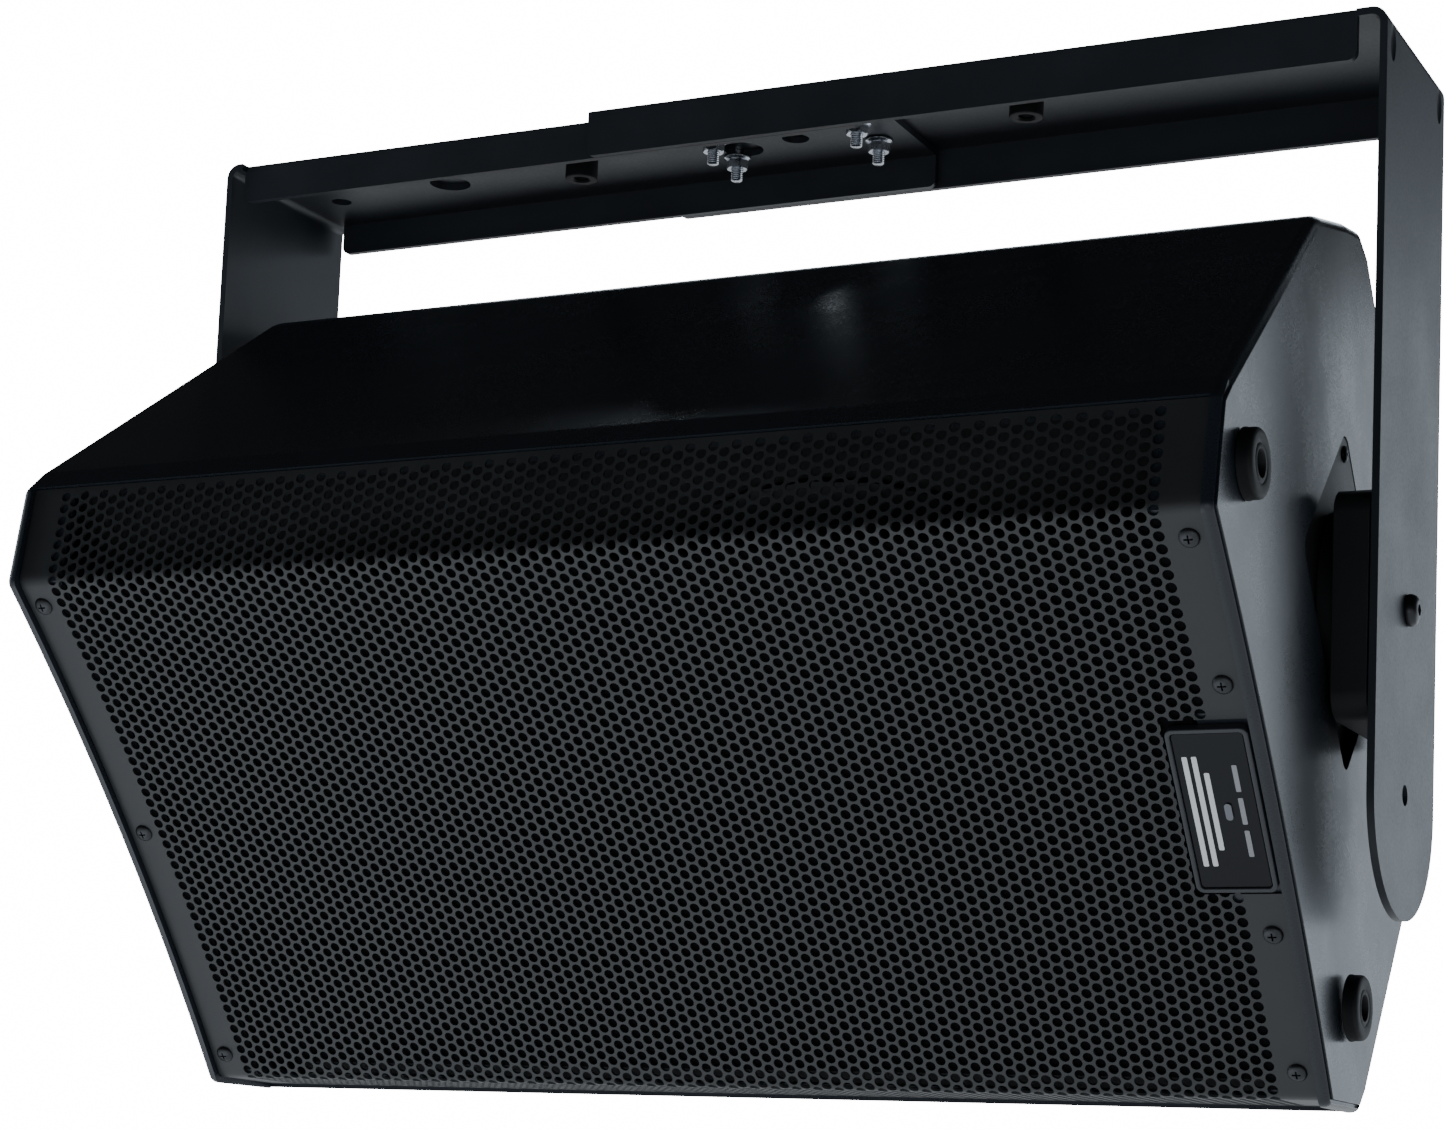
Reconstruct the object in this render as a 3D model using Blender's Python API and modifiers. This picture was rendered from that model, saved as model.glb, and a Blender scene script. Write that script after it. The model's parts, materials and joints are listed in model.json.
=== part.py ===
"""Two-way loudspeaker cabinet hung across a two-piece steel yoke.

Lengths in this file are millimetres until an object is made, and metres in Blender.
The frame is the yoke's: origin at the middle of the crossbar's top face, +X along the
crossbar, +Y to the back, +Z up. The cabinet is drawn level in its own frame, whose
origin is the tilt axis: x along the cabinet, y backwards and z up across its front.
"""
import math

import bmesh
import bpy
from mathutils import Matrix, Vector

MM = 0.001

# Yoke
SHEET = 3.5              # steel thickness
NEST = 0.3               # gap between the two halves
ARM_X = 315.0            # outer face of each arm
ARM_HALF = 53.3          # half the arm's width
PIVOT_DROP = 266.4       # crossbar top to the tilt axis
ARM_TIP = 408.1          # crossbar top to the arm's round end
ARM_HOLE = 351.2         # spare hole, at the centre of the round end
FLANGE = 23.8            # depth of the crossbar's flanges
BEND = 7.5               # outside bend radius
OUTER_END = -94.6        # where the outer half's crossbar stops
INNER_END = 54.5         # where the inner half's crossbar stops
FLANGE_STOP = 301.0      # flanges end short of the bend
CENTRE_HOLE_X = -3.5
SPLICE_X = (-44.0, 36.0)
SPLICE_Y = (-11.7, 15.7)
BOSS_X = (-124.0, 124.0)

# Cabinet
TILT = 39.6              # degrees, front down
AXIS_DEPTH = 177.4       # grille front to the tilt axis
END_X = 297.0            # half length at the front
DRAFT = 0.06             # taper of the end faces
DRAFT_FROM = 40.0        # depth where the taper starts
FRONT_HALF = 144.7       # half height of the flat of the grille
DISH = 7.0               # how far the grille's middle lies back
STRIP = (175.3, 35.6)    # outer edge of the grille's folded side
SHEET_X = 290.8          # half length of the grille sheet
RIM = 3.1                # how far the end rims stand proud of the sheet
GRILLE_T = 1.3
WELL_X = 268.0
BAFFLE_V = (38.0, 50.0)
WOOFER_X, HORN_X = 110.0, -160.0
PLATE_X = 285.0          # outer face of the adaptor plates
GAP = 0.3


def side_half():
    """Upper half of the cabinet's section, front to back, as (height, depth)."""
    return [(FRONT_HALF + 1.4, -RIM), (177.0, 33.5), (178.6, 48.0), (165.5, 250.0),
            (139.5, 305.0), (125.0, 331.0), (108.0, 340.0)]


def cavity_half():
    return [(150.0, 15.0), (169.5, 37.4), (171.5, 51.0), (158.8, 248.0),
            (133.3, 301.5), (119.5, 325.0), (103.0, 332.5)]


def dish(u):
    """Depth of the grille's face at height u."""
    return DISH * (1 - (u / FRONT_HALF) ** 2)


def dished(shift, half=FRONT_HALF, count=8):
    return [(u, dish(u) + shift)
            for u in (half * (2 * i / count - 1) for i in range(count + 1))]


# Scene set-up

for old in list(bpy.data.objects):
    bpy.data.objects.remove(old, do_unlink=True)

parts = bpy.data.collections.new("yoke_loudspeaker")
cutters = bpy.data.collections.new("cutters")
for group in (parts, cutters):
    bpy.context.scene.collection.children.link(group)

tilt = bpy.data.objects.new("cabinet_tilt_axis", None)
tilt.location = (0, 0, -PIVOT_DROP * MM)
tilt.rotation_euler = (math.radians(TILT), 0, 0)
parts.objects.link(tilt)


def material(name, colour, roughness, metallic=0.0):
    made = bpy.data.materials.new(name)
    made.use_nodes = True
    shader = made.node_tree.nodes["Principled BSDF"]
    shader.inputs["Base Color"].default_value = (*colour, 1)
    shader.inputs["Roughness"].default_value = roughness
    shader.inputs["Metallic"].default_value = metallic
    return made


steel = material("yoke_black", (0.018, 0.022, 0.03), 0.45)
zinc = material("zinc", (0.6, 0.62, 0.66), 0.3, 1.0)
rubber = material("rubber", (0.012, 0.012, 0.013), 0.8)
shell = material("shell_black", (0.02, 0.021, 0.024), 0.55)
grille_paint = material("grille_paint", (0.015, 0.016, 0.018), 0.5)
foam = material("foam", (0.008, 0.008, 0.009), 0.95)
screw_black = material("screw_black", (0.03, 0.03, 0.032), 0.35, 0.8)
badge_grey = material("badge_grey", (0.1, 0.105, 0.115), 0.4)
light_lens = material("light_lens", (0.5, 0.55, 0.6), 0.2)
board_wood = material("baffle_black", (0.015, 0.015, 0.016), 0.8)
cone_paper = material("cone_paper", (0.02, 0.02, 0.021), 0.9)
panel_metal = material("panel_black", (0.02, 0.02, 0.022), 0.45, 0.3)
plastic = material("control_black", (0.025, 0.025, 0.027), 0.4)
glass = material("display_glass", (0.01, 0.012, 0.016), 0.08)
circuit = material("circuit_green", (0.02, 0.12, 0.05), 0.5)


# Modelling helpers

def place(obj, name, skin, frame):
    """Links an object as a sub-part, or as a cutter when it has no material."""
    obj.name = name
    if obj.data is not None:
        obj.data.name = name
    for group in list(obj.users_collection):
        group.objects.unlink(obj)
    if skin is None:
        cutters.objects.link(obj)
        obj.hide_render = True
        obj.display_type = "WIRE"
    else:
        parts.objects.link(obj)
        obj.data.materials.clear()
        obj.data.materials.append(skin)
    if frame == "cabinet":
        obj.parent = tilt
    return obj


def at(x, v, u):
    """A cabinet place from its length, depth and height."""
    return Vector((x, v - AXIS_DEPTH, u))


def block(name, skin, low, high, frame="cabinet", bevel=0.0):
    low, high = Vector(low) * MM, Vector(high) * MM
    mesh = bpy.data.meshes.new(name)
    bm = bmesh.new()
    bmesh.ops.create_cube(bm, size=1.0, matrix=Matrix.Translation((low + high) / 2)
                          @ Matrix.Diagonal((*(high - low), 1)))
    bm.to_mesh(mesh)
    bm.free()
    obj = place(bpy.data.objects.new(name, mesh), name, skin, frame)
    if bevel:
        soften(obj, bevel)
    return obj


def soften(obj, width, segments=2, degrees=40):
    made = obj.modifiers.new("rounded", "BEVEL")
    made.width = width * MM
    made.segments = segments
    made.limit_method = "ANGLE"
    made.angle_limit = math.radians(degrees)


TURN = {"XY": Matrix.Identity(4),
        "XZ": Matrix.Rotation(math.radians(90), 4, "X"),
        "YZ": Matrix(((0, 0, 1, 0), (1, 0, 0, 0), (0, 1, 0, 0), (0, 0, 0, 1)))}


def outline(name, skin, points, middle, depth, plane, frame="cabinet"):
    """A flat outline in one plane, given a depth across it centred on middle."""
    curve = bpy.data.curves.new(name, "CURVE")
    curve.dimensions = "2D"
    curve.fill_mode = "BOTH"
    curve.extrude = depth / 2 * MM
    spline = curve.splines.new("POLY")
    spline.points.add(len(points) - 1)
    for point, (a, b) in zip(spline.points, points):
        point.co = (a * MM, b * MM, 0, 1)
    spline.use_cyclic_u = True
    guide = bpy.data.objects.new(name + "_curve", curve)
    parts.objects.link(guide)
    bpy.context.view_layer.update()
    mesh = bpy.data.meshes.new_from_object(
        guide.evaluated_get(bpy.context.evaluated_depsgraph_get()))
    bpy.data.objects.remove(guide, do_unlink=True)
    bm = bmesh.new()
    bm.from_mesh(mesh)
    bmesh.ops.remove_doubles(bm, verts=bm.verts, dist=0.00001)
    bmesh.ops.transform(bm, verts=bm.verts,
                        matrix=Matrix.Translation(Vector(middle) * MM) @ TURN[plane])
    bmesh.ops.recalc_face_normals(bm, faces=bm.faces)
    bm.to_mesh(mesh)
    bm.free()
    return place(bpy.data.objects.new(name, mesh), name, skin, frame)


def turned(name, skin, profile, origin, axis, frame="cabinet", steps=24, closed=False):
    """A profile of (radius, height) turned about an axis through origin."""
    mesh = bpy.data.meshes.new(name)
    edges = [(i, i + 1) for i in range(len(profile) - 1)]
    if closed:
        edges.append((len(profile) - 1, 0))
    mesh.from_pydata([(r * MM, 0, h * MM) for r, h in profile], edges, [])
    obj = place(bpy.data.objects.new(name, mesh), name, skin, frame)
    obj.location = Vector(origin) * MM
    obj.rotation_euler = Vector(axis).to_track_quat("Z", "Y").to_euler()
    screw = obj.modifiers.new("turned", "SCREW")
    screw.axis = "Z"
    screw.steps = screw.render_steps = steps
    screw.use_merge_vertices = True
    screw.merge_threshold = 0.00001
    return obj


def rod(name, skin, radius, start, end, frame="cabinet", steps=16):
    start, end = Vector(start), Vector(end)
    length = (end - start).length
    return turned(name, skin, [(0, length), (radius, length), (radius, 0), (0, 0)],
                  start, end - start, frame, steps)


def combine(obj, other, how="DIFFERENCE"):
    made = obj.modifiers.new(how.lower(), "BOOLEAN")
    made.operation = how
    made.object = other
    made.solver = "EXACT"


def rounded(width, height, radius, cx=0.0, cy=0.0, arc=4):
    """A rectangle with round corners, anticlockwise."""
    points = []
    for quarter, (sx, sy) in enumerate(((1, 1), (-1, 1), (-1, -1), (1, -1))):
        for i in range(arc + 1):
            angle = math.radians(90 * (quarter + i / arc))
            points.append((cx + sx * (width / 2 - radius) + radius * math.cos(angle),
                           cy + sy * (height / 2 - radius) + radius * math.sin(angle)))
    return points


def mirrored(half):
    """The closed section whose upper half is given front to back."""
    return half + [(-u, v) for u, v in reversed(half)]


def in_section(points):
    """Section points as (depth from the tilt axis, height), for a YZ outline."""
    return [(v - AXIS_DEPTH, u) for u, v in points]


def drafted(obj):
    """Tapers the ends of a long prism behind the depth where the draft starts."""
    start = (DRAFT_FROM - AXIS_DEPTH) * MM
    bm = bmesh.new()
    bm.from_mesh(obj.data)
    bmesh.ops.bisect_plane(bm, geom=bm.verts[:] + bm.edges[:] + bm.faces[:],
                           plane_co=(0, start, 0), plane_no=(0, 1, 0))
    for vert in bm.verts:
        back = max(0.0, vert.co.y - start) * DRAFT
        vert.co.x -= math.copysign(back, vert.co.x)
    bm.to_mesh(obj.data)
    bm.free()
    return obj


# Yoke

def yoke_half(name, side, end, top):
    """One bent sheet: an arm, its bend and a flanged stretch of the crossbar."""
    inner = side < 0
    half = ARM_HALF - (SHEET + NEST if inner else 0)
    centre_x, centre_z = ARM_X - BEND, top - BEND
    arc = [(math.sin(a), math.cos(a)) for a in (math.radians(18 * i) for i in range(6))]
    path = [(end * side, top)]
    path += [(centre_x + BEND * s, centre_z + BEND * c) for s, c in arc]
    path += [(ARM_X, -ARM_TIP), (ARM_X - SHEET, -ARM_TIP)]
    path += [(centre_x + (BEND - SHEET) * s, centre_z + (BEND - SHEET) * c)
             for s, c in reversed(arc)]
    path += [(end * side, top - SHEET)]
    sheet = outline(name, steel, [(x * side, z) for x, z in path], (0, 0, 0),
                    2 * ARM_HALF, "XZ", "yoke")
    stop = FLANGE_STOP + (5 if inner else 0)
    flange = [(end * side, top), (stop, top), (stop, 4 - FLANGE), (stop - 4, -FLANGE),
              (end * side + 3, -FLANGE), (end * side, 3 - FLANGE)]
    for tag, y in (("front", -1), ("back", 1)):
        if inner:
            edge = (half + ARM_HALF + 5) / 2
            strip = (ARM_HALF + 5 - half) / 2
            combine(sheet, block(f"{name}_{tag}_step", None,
                                 (-stop + 2, y * edge - strip, -60),
                                 (end + 10, y * edge + strip, 20), "yoke"))
        rim = outline(f"{name}_{tag}_flange", None, [(x * side, z) for x, z in flange],
                      (0, y * (half - SHEET / 2), 0), SHEET, "XZ", "yoke")
        combine(sheet, rim, "UNION")
    tip = ARM_HALF - ARM_TIP
    arm = [(ARM_HALF + 1, 20), (-ARM_HALF - 1, 20), (-ARM_HALF - 1, tip),
           (-ARM_HALF, tip)]
    arm += [(-ARM_HALF * math.cos(a), tip - ARM_HALF * math.sin(a))
            for a in (math.radians(9 * i) for i in range(1, 20))]
    arm += [(ARM_HALF, tip), (ARM_HALF + 1, tip)]
    combine(sheet, outline(f"{name}_round_end", None, arm, (0, 0, 0), 800, "YZ",
                           "yoke"), "INTERSECT")
    for tag, radius, drop in (("pivot", 5.2, PIVOT_DROP), ("spare", 4.8, ARM_HOLE)):
        combine(sheet, rod(f"{name}_{tag}_hole", None, radius,
                           (side * (ARM_X - 12), 0, -drop),
                           (side * (ARM_X + 12), 0, -drop), "yoke", 20))
    return sheet


outer_half = yoke_half("yoke_outer_half", 1, OUTER_END, 0.0)
inner_half = yoke_half("yoke_inner_half", -1, INNER_END, -SHEET - NEST)

centre_hole = rod("centre_hole", None, 7.0, (CENTRE_HOLE_X, 0, -30),
                  (CENTRE_HOLE_X, 0, 10), "yoke", 24)
combine(outer_half, centre_hole)
combine(inner_half, centre_hole)
dimple = rod("dimple", None, 11.0, (-210, 3, -30), (-210, 3, -2 * SHEET + 1.7),
             "yoke", 24)
combine(inner_half, dimple)

BOLT_R, HEAD_R = 3.0, 6.4
WEB_UNDER = -2 * SHEET - NEST
for number, (x, y) in enumerate(((x, y) for x in SPLICE_X for y in SPLICE_Y), 1):
    turned(f"splice_bolt_{number}", zinc,
           [(0, -0.1), (HEAD_R, -0.1), (BOLT_R, -3.3), (BOLT_R, -19.7), (2.3, -20.5),
            (0, -20.5)], (x, y, 0), (0, 0, 1), "yoke", 16)
    sink = turned(f"splice_sink_{number}", None,
                  [(0, 3), (HEAD_R + 0.4, 3), (HEAD_R + 0.4, -0.1),
                   (BOLT_R + 0.4, -3.4), (BOLT_R + 0.4, -30), (0, -30)],
                  (x, y, 0), (0, 0, 1), "yoke", 16)
    combine(outer_half, sink)
    combine(inner_half, sink)
    nut = turned(f"splice_nut_{number}", zinc,
                 [(BOLT_R + 0.3, -0.3), (7.1, -0.3), (7.1, -1.4), (5.6, -2.0),
                  (5.6, -6.6), (BOLT_R + 0.3, -6.6)], (x, y, WEB_UNDER), (0, 0, 1),
                 "yoke", 12, closed=True)

for tag, x in zip(("left", "right"), BOSS_X):
    under = (WEB_UNDER if x < 0 else -SHEET) - GAP
    turned(f"boss_{tag}", rubber,
           [(4.0, 0), (8.4, 0), (8.4, -9.0), (7.6, -10.0), (4.0, -10.0)],
           (x, -6.0, under), (0, 0, 1), "yoke", 20, closed=True)

# The spacers square to the arms, with a round foot on the adaptor plates.
SPACER_X = (294.2, 310.7)
for tag, side in (("left", -1), ("right", 1)):
    middle = side * sum(SPACER_X) / 2
    spacer = outline(f"pivot_spacer_{tag}", rubber, rounded(106, 104, 12, 0, -5),
                     (middle, 0, -PIVOT_DROP), SPACER_X[1] - SPACER_X[0], "YZ", "yoke")
    foot = rod(f"spacer_foot_{tag}", None, 47.0,
               (side * (PLATE_X + GAP), 0, -PIVOT_DROP),
               (side * (SPACER_X[0] + 1), 0, -PIVOT_DROP), "yoke", 32)
    combine(spacer, foot, "UNION")
    combine(spacer, rod(f"spacer_hole_{tag}", None, 5.2,
                        (side * 280, 0, -PIVOT_DROP), (side * 315, 0, -PIVOT_DROP),
                        "yoke", 16))


# Cabinet shell

enclosure = drafted(outline(
    "enclosure", shell,
    in_section(dished(-RIM, FRONT_HALF + 1.4)[1:-1] + mirrored(side_half())),
    (0, 0, 0), 2 * END_X, "YZ"))
soften(enclosure, 5.0, 2, 60)

cavity = drafted(outline("cavity", None, in_section(mirrored(cavity_half())),
                         (0, 0, 0), 2 * 283.0, "YZ"))
combine(enclosure, cavity)
combine(enclosure, block("front_well", None, at(-WELL_X, -20, -200),
                         at(WELL_X, 37.4, 200)))
back_line = dished(GRILLE_T + GAP, 143.6)
pocket = [(-200, -20), (-182, 30.4), (-174.4, 36.9)] + back_line
pocket += [(174.4, 36.9), (182, 30.4), (200, -20)]
combine(enclosure, outline("grille_pocket", None, in_section(pocket), (0, 0, 0),
                           2 * (SHEET_X + 0.4), "YZ"))
combine(enclosure, block("rear_opening", None, at(-255, 325, -94), at(255, 350, 94)))

for tag, side in (("left", -1), ("right", 1)):
    recess = outline(f"plate_recess_{tag}", None,
                     rounded(112.0, 118.6, 8, 174 - AXIS_DEPTH, 8),
                     (side * 291.4, 0, 0), 20, "YZ")
    combine(enclosure, recess)
    combine(enclosure, rod(f"boss_hole_{tag}", None, 12.4, at(side * 255, AXIS_DEPTH, 0),
                           at(side * 290, AXIS_DEPTH, 0), steps=20))

HANDLE_X, HANDLE_V, HANDLE_U = 75.0, (168.0, 246.0), -128.0
combine(enclosure, block("handle_opening", None, at(-HANDLE_X - GAP, HANDLE_V[0] - GAP, -200),
                         at(HANDLE_X + GAP, HANDLE_V[1] + GAP, -140)))

# Grille

outer_line = [(-STRIP[0], STRIP[1])] + dished(0.0) + [STRIP]
slope = Vector((STRIP[0] - FRONT_HALF, STRIP[1])).normalized()
inner_edge = (STRIP[0] - slope.y * GRILLE_T, STRIP[1] + slope.x * GRILLE_T)
inner_line = ([(-inner_edge[0], inner_edge[1])] + dished(GRILLE_T, FRONT_HALF - 0.75)
              + [inner_edge])
grille = outline("grille_sheet", grille_paint,
                 in_section(outer_line + list(reversed(inner_line))), (0, 0, 0),
                 2 * SHEET_X, "YZ")
outline("grille_foam", foam,
        in_section(dished(2.0, 136) + list(reversed(dished(7.0, 136)))),
        (0, 0, 0), 2 * 266.0, "YZ")

SCREW_X = 283.0
screw_places = [(-SCREW_X, u) for u in (131.0, 0.0, -131.0)]
screw_places += [(SCREW_X, u) for u in (131.0, 61.5, -61.5, -131.0)]
for number, (x, u) in enumerate(screw_places, 1):
    seat = at(x, dish(u) - 0.8, u)
    turned(f"grille_screw_{number}", screw_black,
           [(0, 1.6), (2.6, 1.5), (4.2, 0.9), (4.8, 0), (1.9, 0), (1.9, -7.5), (0, -7.5)],
           seat, (0, -1, 0), steps=12)
    hole = rod(f"screw_hole_{number}", None, 2.3, seat + Vector((0, -4, 0)),
               seat + Vector((0, 8.5, 0)), steps=12)
    combine(grille, hole)
    combine(enclosure, hole)

# Badge, near the right end of the grille

BADGE = (272.2, 1.8)     # centre: length, height
BADGE_SIZE = (35.9, 80.6)
combine(grille, block("badge_notch", None, at(252.4, -10, -41.2), at(300, 20, 44.8)))


def badge_layer(name, skin, margin, corner, front, back):
    width, height = (size - 2 * margin for size in BADGE_SIZE)
    return outline(name, skin, rounded(width, height, corner, *BADGE),
                   at(0, (front + back) / 2, 0), back - front, "XZ")


frame_ring = badge_layer("badge_frame", badge_grey, 0, 3.6, 3.0, 7.7)
combine(frame_ring, badge_layer("badge_window", None, 2.2, 1.8, 0, 12))
badge_layer("badge_plate", plastic, 2.5, 1.6, 3.8, 7.7)
outline("badge_light", light_lens, rounded(3.2, 8.2, 1.5, BADGE[0] + 3.2, BADGE[1]),
        at(0, 3.1, 0), 0.8, "XZ")

# Three feet on the right end, the rear one taller so the cabinet stands upright

FOOT_TIP = 304.0
for number, (u, v) in enumerate(((141, 44), (-128, 46), (0, 262)), 1):
    base = END_X - DRAFT * max(0.0, v - 15.0 - DRAFT_FROM) + GAP
    height = FOOT_TIP - base
    turned(f"foot_{number}", rubber,
           [(0, height - 5), (5.6, height - 5), (6.0, height), (13.6, height),
            (15.0, height - 1.4), (15.0, 0), (0, 0)], at(base, v, u), (1, 0, 0),
           steps=24)

# Adaptor plates that take the tilt bolts

for tag, side in (("left", -1), ("right", 1)):
    plate = outline(f"adaptor_plate_{tag}", panel_metal,
                    rounded(111.4, 118.0, 7.7, 174 - AXIS_DEPTH, 8),
                    (side * (PLATE_X - 1.6), 0, 0), 3.2, "YZ")
    combine(plate, rod(f"plate_boss_{tag}", None, 12.0,
                       at(side * 264, AXIS_DEPTH, 0), at(side * 283, AXIS_DEPTH, 0),
                       steps=20), "UNION")
    combine(plate, rod(f"plate_hole_{tag}", None, 5.2, at(side * 255, AXIS_DEPTH, 0),
                       at(side * 290, AXIS_DEPTH, 0), steps=16))
    turned(f"pivot_bolt_{tag}", screw_black,
           [(0, 5.0), (5.0, 4.8), (7.5, 1.6), (7.5, 0), (4.9, 0), (4.9, -46), (0, -46)],
           at(side * (ARM_X + GAP), AXIS_DEPTH, 0), (side, 0, 0), steps=20)
    if side > 0:
        for number, (v, u) in enumerate(((v, u) for v in (126, 222) for u in (-43, 59)), 1):
            turned(f"plate_screw_{number}", screw_black,
                   [(0, 1.0), (2.4, 0.9), (4.0, 0.3), (4.0, 0), (1.8, 0), (1.8, -3.6),
                    (0, -3.6)], at(PLATE_X + GAP, v, u), (1, 0, 0), steps=12)
            combine(plate, rod(f"plate_screw_hole_{number}", None, 2.2,
                               at(276, v, u), at(290, v, u), steps=12))
            combine(enclosure, rod(f"plate_screw_bore_{number}", None, 2.2,
                                   at(280.6, v, u), at(290, v, u), steps=12))

# Baffle and drivers

baffle = outline("baffle", board_wood, rounded(2 * 281.8, 2 * 169.2, 6),
                 at(0, sum(BAFFLE_V) / 2, 0), BAFFLE_V[1] - BAFFLE_V[0], "XZ")
combine(baffle, rod("woofer_opening", None, 141, at(WOOFER_X, 30, 0),
                    at(WOOFER_X, 60, 0), steps=32))
combine(baffle, block("horn_opening", None, at(HORN_X - 92, 30, -98),
                      at(HORN_X + 92, 60, 98)))

woofer = at(WOOFER_X, 0, 0)
turned("woofer_frame", panel_metal,
       [(136, -33.5), (152, -33.5), (152, -37.6), (140, -37.6), (136, -62),
        (96, -108), (78, -112), (78, -148), (30, -148), (30, -112), (70, -106),
        (92, -103), (131, -60), (136, -40)], woofer, (0, -1, 0), steps=32, closed=True)
turned("woofer_surround", rubber,
       [(116, -33.8), (118, -31.6), (124, -30.6), (130, -31.6), (132, -33.8),
        (135.5, -33.8), (135.5, -35.4), (116, -35.4)], woofer, (0, -1, 0),
       steps=32, closed=True)
turned("woofer_cone", cone_paper,
       [(0, -58), (30, -66), (38, -76), (115.4, -34), (115.4, -35.6), (38, -78.5),
        (28, -78.5), (28, -128), (0, -128)], woofer, (0, -1, 0), steps=32)


def flared(name, skin, stations, wall):
    """A horn lofted from a round throat to a rectangular mouth, open at both ends."""
    sides = 28
    bm = bmesh.new()
    rings = []
    skins = [(0.0, list(stations)), (wall, list(reversed(stations)))]
    for grow, path in skins:
        for depth, half_x, half_u, power in path:
            ring = []
            for i in range(sides):
                a = 2 * math.pi * i / sides
                c, s = math.cos(a), math.sin(a)
                x = (half_x + grow) * math.copysign(abs(c) ** (2 / power), c)
                u = (half_u + grow) * math.copysign(abs(s) ** (2 / power), s)
                ring.append(bm.verts.new(at(HORN_X + x, depth, u) * MM))
            rings.append(ring)
    for this, after in zip(rings, rings[1:] + rings[:1]):
        for i in range(sides):
            j = (i + 1) % sides
            bm.faces.new((this[i], this[j], after[j], after[i]))
    bmesh.ops.recalc_face_normals(bm, faces=bm.faces)
    mesh = bpy.data.meshes.new(name)
    bm.to_mesh(mesh)
    bm.free()
    return place(bpy.data.objects.new(name, mesh), name, skin, "cabinet")


horn = flared("horn", shell,
              [(35.0, 86, 94, 5), (55, 74, 78, 4), (85, 42, 40, 3), (120, 13, 13, 2)], 3)
flange = outline("horn_flange", None, rounded(192, 206, 8, HORN_X, 0),
                 at(0, 35.6, 0), 3.6, "XZ")
combine(flange, outline("horn_flange_hole", None, rounded(174, 190, 30, HORN_X, 0),
                        at(0, 35.6, 0), 10, "XZ"))
combine(horn, flange, "UNION")
turned("compression_driver", panel_metal,
       [(0, -175), (46, -175), (46, -130), (30, -120.5), (14, -120.5), (14, -124),
        (0, -124)][::-1], at(HORN_X, 0, 0), (0, -1, 0), steps=24)

# Rear panel and controls

PANEL_V = (340.3, 344.8)
panel = outline("amp_panel", panel_metal, rounded(524, 200, 10),
                at(0, sum(PANEL_V) / 2, 0), PANEL_V[1] - PANEL_V[0], "XZ")
FINS, FIN_PITCH, FIN_T = 17, 9.0, 3.0
comb = [(-75, 345.1), (-75, 352.6)]
for i in range(FINS):
    low = -75 + i * FIN_PITCH
    comb += [(low + FIN_T, 352.6), (low + FIN_T, 347.6)]
    if i < FINS - 1:
        comb += [(low + FIN_PITCH, 347.6), (low + FIN_PITCH, 352.6)]
comb[-1] = (comb[-1][0], 345.1)
outline("heat_sink", panel_metal, in_section(comb), (-165, 0, 0), 150, "YZ")
circuit_board = block("circuit_board", circuit, at(-200, 300, -70), at(200, 302, 70))
for tag, x, u, size, height in (("transformer", -120, 0, 36, 40), ("caps", 60, 30, 22, 26)):
    combine(circuit_board, block(f"board_{tag}", None, at(x - size, 301 - height, u - size),
                                 at(x + size, 301, u + size)), "UNION")


def panel_hole(name, x, u, radius):
    combine(panel, rod(name, None, radius, at(x, 330, u), at(x, 350, u), steps=24))


for number, u in enumerate((50, 8), 1):
    panel_hole(f"socket_hole_{number}", 60, u, 13.3)
    turned(f"input_socket_{number}", plastic,
           [(0, 343.2 - 332), (11.5, 343.2 - 332), (11.5, 347.6 - 320),
            (15.0, 347.6 - 320), (15.0, 345.1 - 320), (13.0, 345.1 - 320), (13.0, 0),
            (0, 0)], at(60, 320, u), (0, 1, 0), steps=24)
    turned(f"gain_knob_{number}", plastic,
           [(0, 13), (7, 13), (8, 12), (8.6, 1), (8.6, 0), (0, 0)],
           at(16, PANEL_V[1] + GAP, u), (0, 1, 0), steps=20)

block("display_window", glass, at(110, PANEL_V[1] + GAP, 24), at(170, 346.6, 62))
turned("encoder_knob", plastic,
       [(0, 15), (9, 15), (10.5, 13.5), (11, 0), (0, 0)],
       at(140, PANEL_V[1] + GAP, -6), (0, 1, 0), steps=24)
for number, x in enumerate((112, 168), 1):
    panel_hole(f"button_hole_{number}", x, -6, 4.4)
    rod(f"push_button_{number}", plastic, 4.0, at(x, 336, -6), at(x, 348.5, -6))

combine(panel, block("inlet_hole", None, at(196.7, 330, 9.7), at(235.3, 350, 40.3)))
inlet = block("power_inlet", plastic, at(197, 322, 10), at(235, 347.4, 40))
combine(inlet, block("inlet_recess", None, at(201, 328, 14), at(231, 360, 36)))
combine(inlet, block("inlet_pins", None, at(207, 325, 23), at(211, 341, 26)), "UNION")
combine(inlet, block("inlet_pins_2", None, at(221, 325, 23), at(225, 341, 26)), "UNION")

combine(panel, block("rocker_hole", None, at(204, 330, -36), at(228, 350, -8)))
rocker = outline("power_rocker", plastic,
                 in_section([(-33.8, 347.6), (-22, 345.8), (-10.2, 349.0),
                             (-10.2, 342), (-22, 336), (-33.8, 340.5)]),
                 (216, 0, 0), 22.8, "YZ")
hinge = at(216, 341, -22) * MM
rocker.data.transform(Matrix.Translation(-hinge))
rocker.location = hinge

# Recessed handle in the lower side

tray = block("side_handle", plastic, at(-HANDLE_X, HANDLE_V[0], -171),
             at(HANDLE_X, HANDLE_V[1], HANDLE_U))
combine(tray, block("handle_hollow", None, at(-HANDLE_X + 3, HANDLE_V[0] + 3, -200),
                    at(HANDLE_X - 3, HANDLE_V[1] - 3, HANDLE_U - 3)))
combine(tray, outline("handle_grip", None,
                      in_section([(u - 158.5, v + 207) for u, v in
                                  rounded(15, 26, 6, 0, 0)]),
                      (0, 0, 0), 2 * HANDLE_X - 2, "YZ"), "UNION")
combine(tray, outline("handle_flush", None, in_section(mirrored(side_half())),
                      (0, 0, 0), 2 * HANDLE_X + 20, "YZ"), "INTERSECT")

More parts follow.
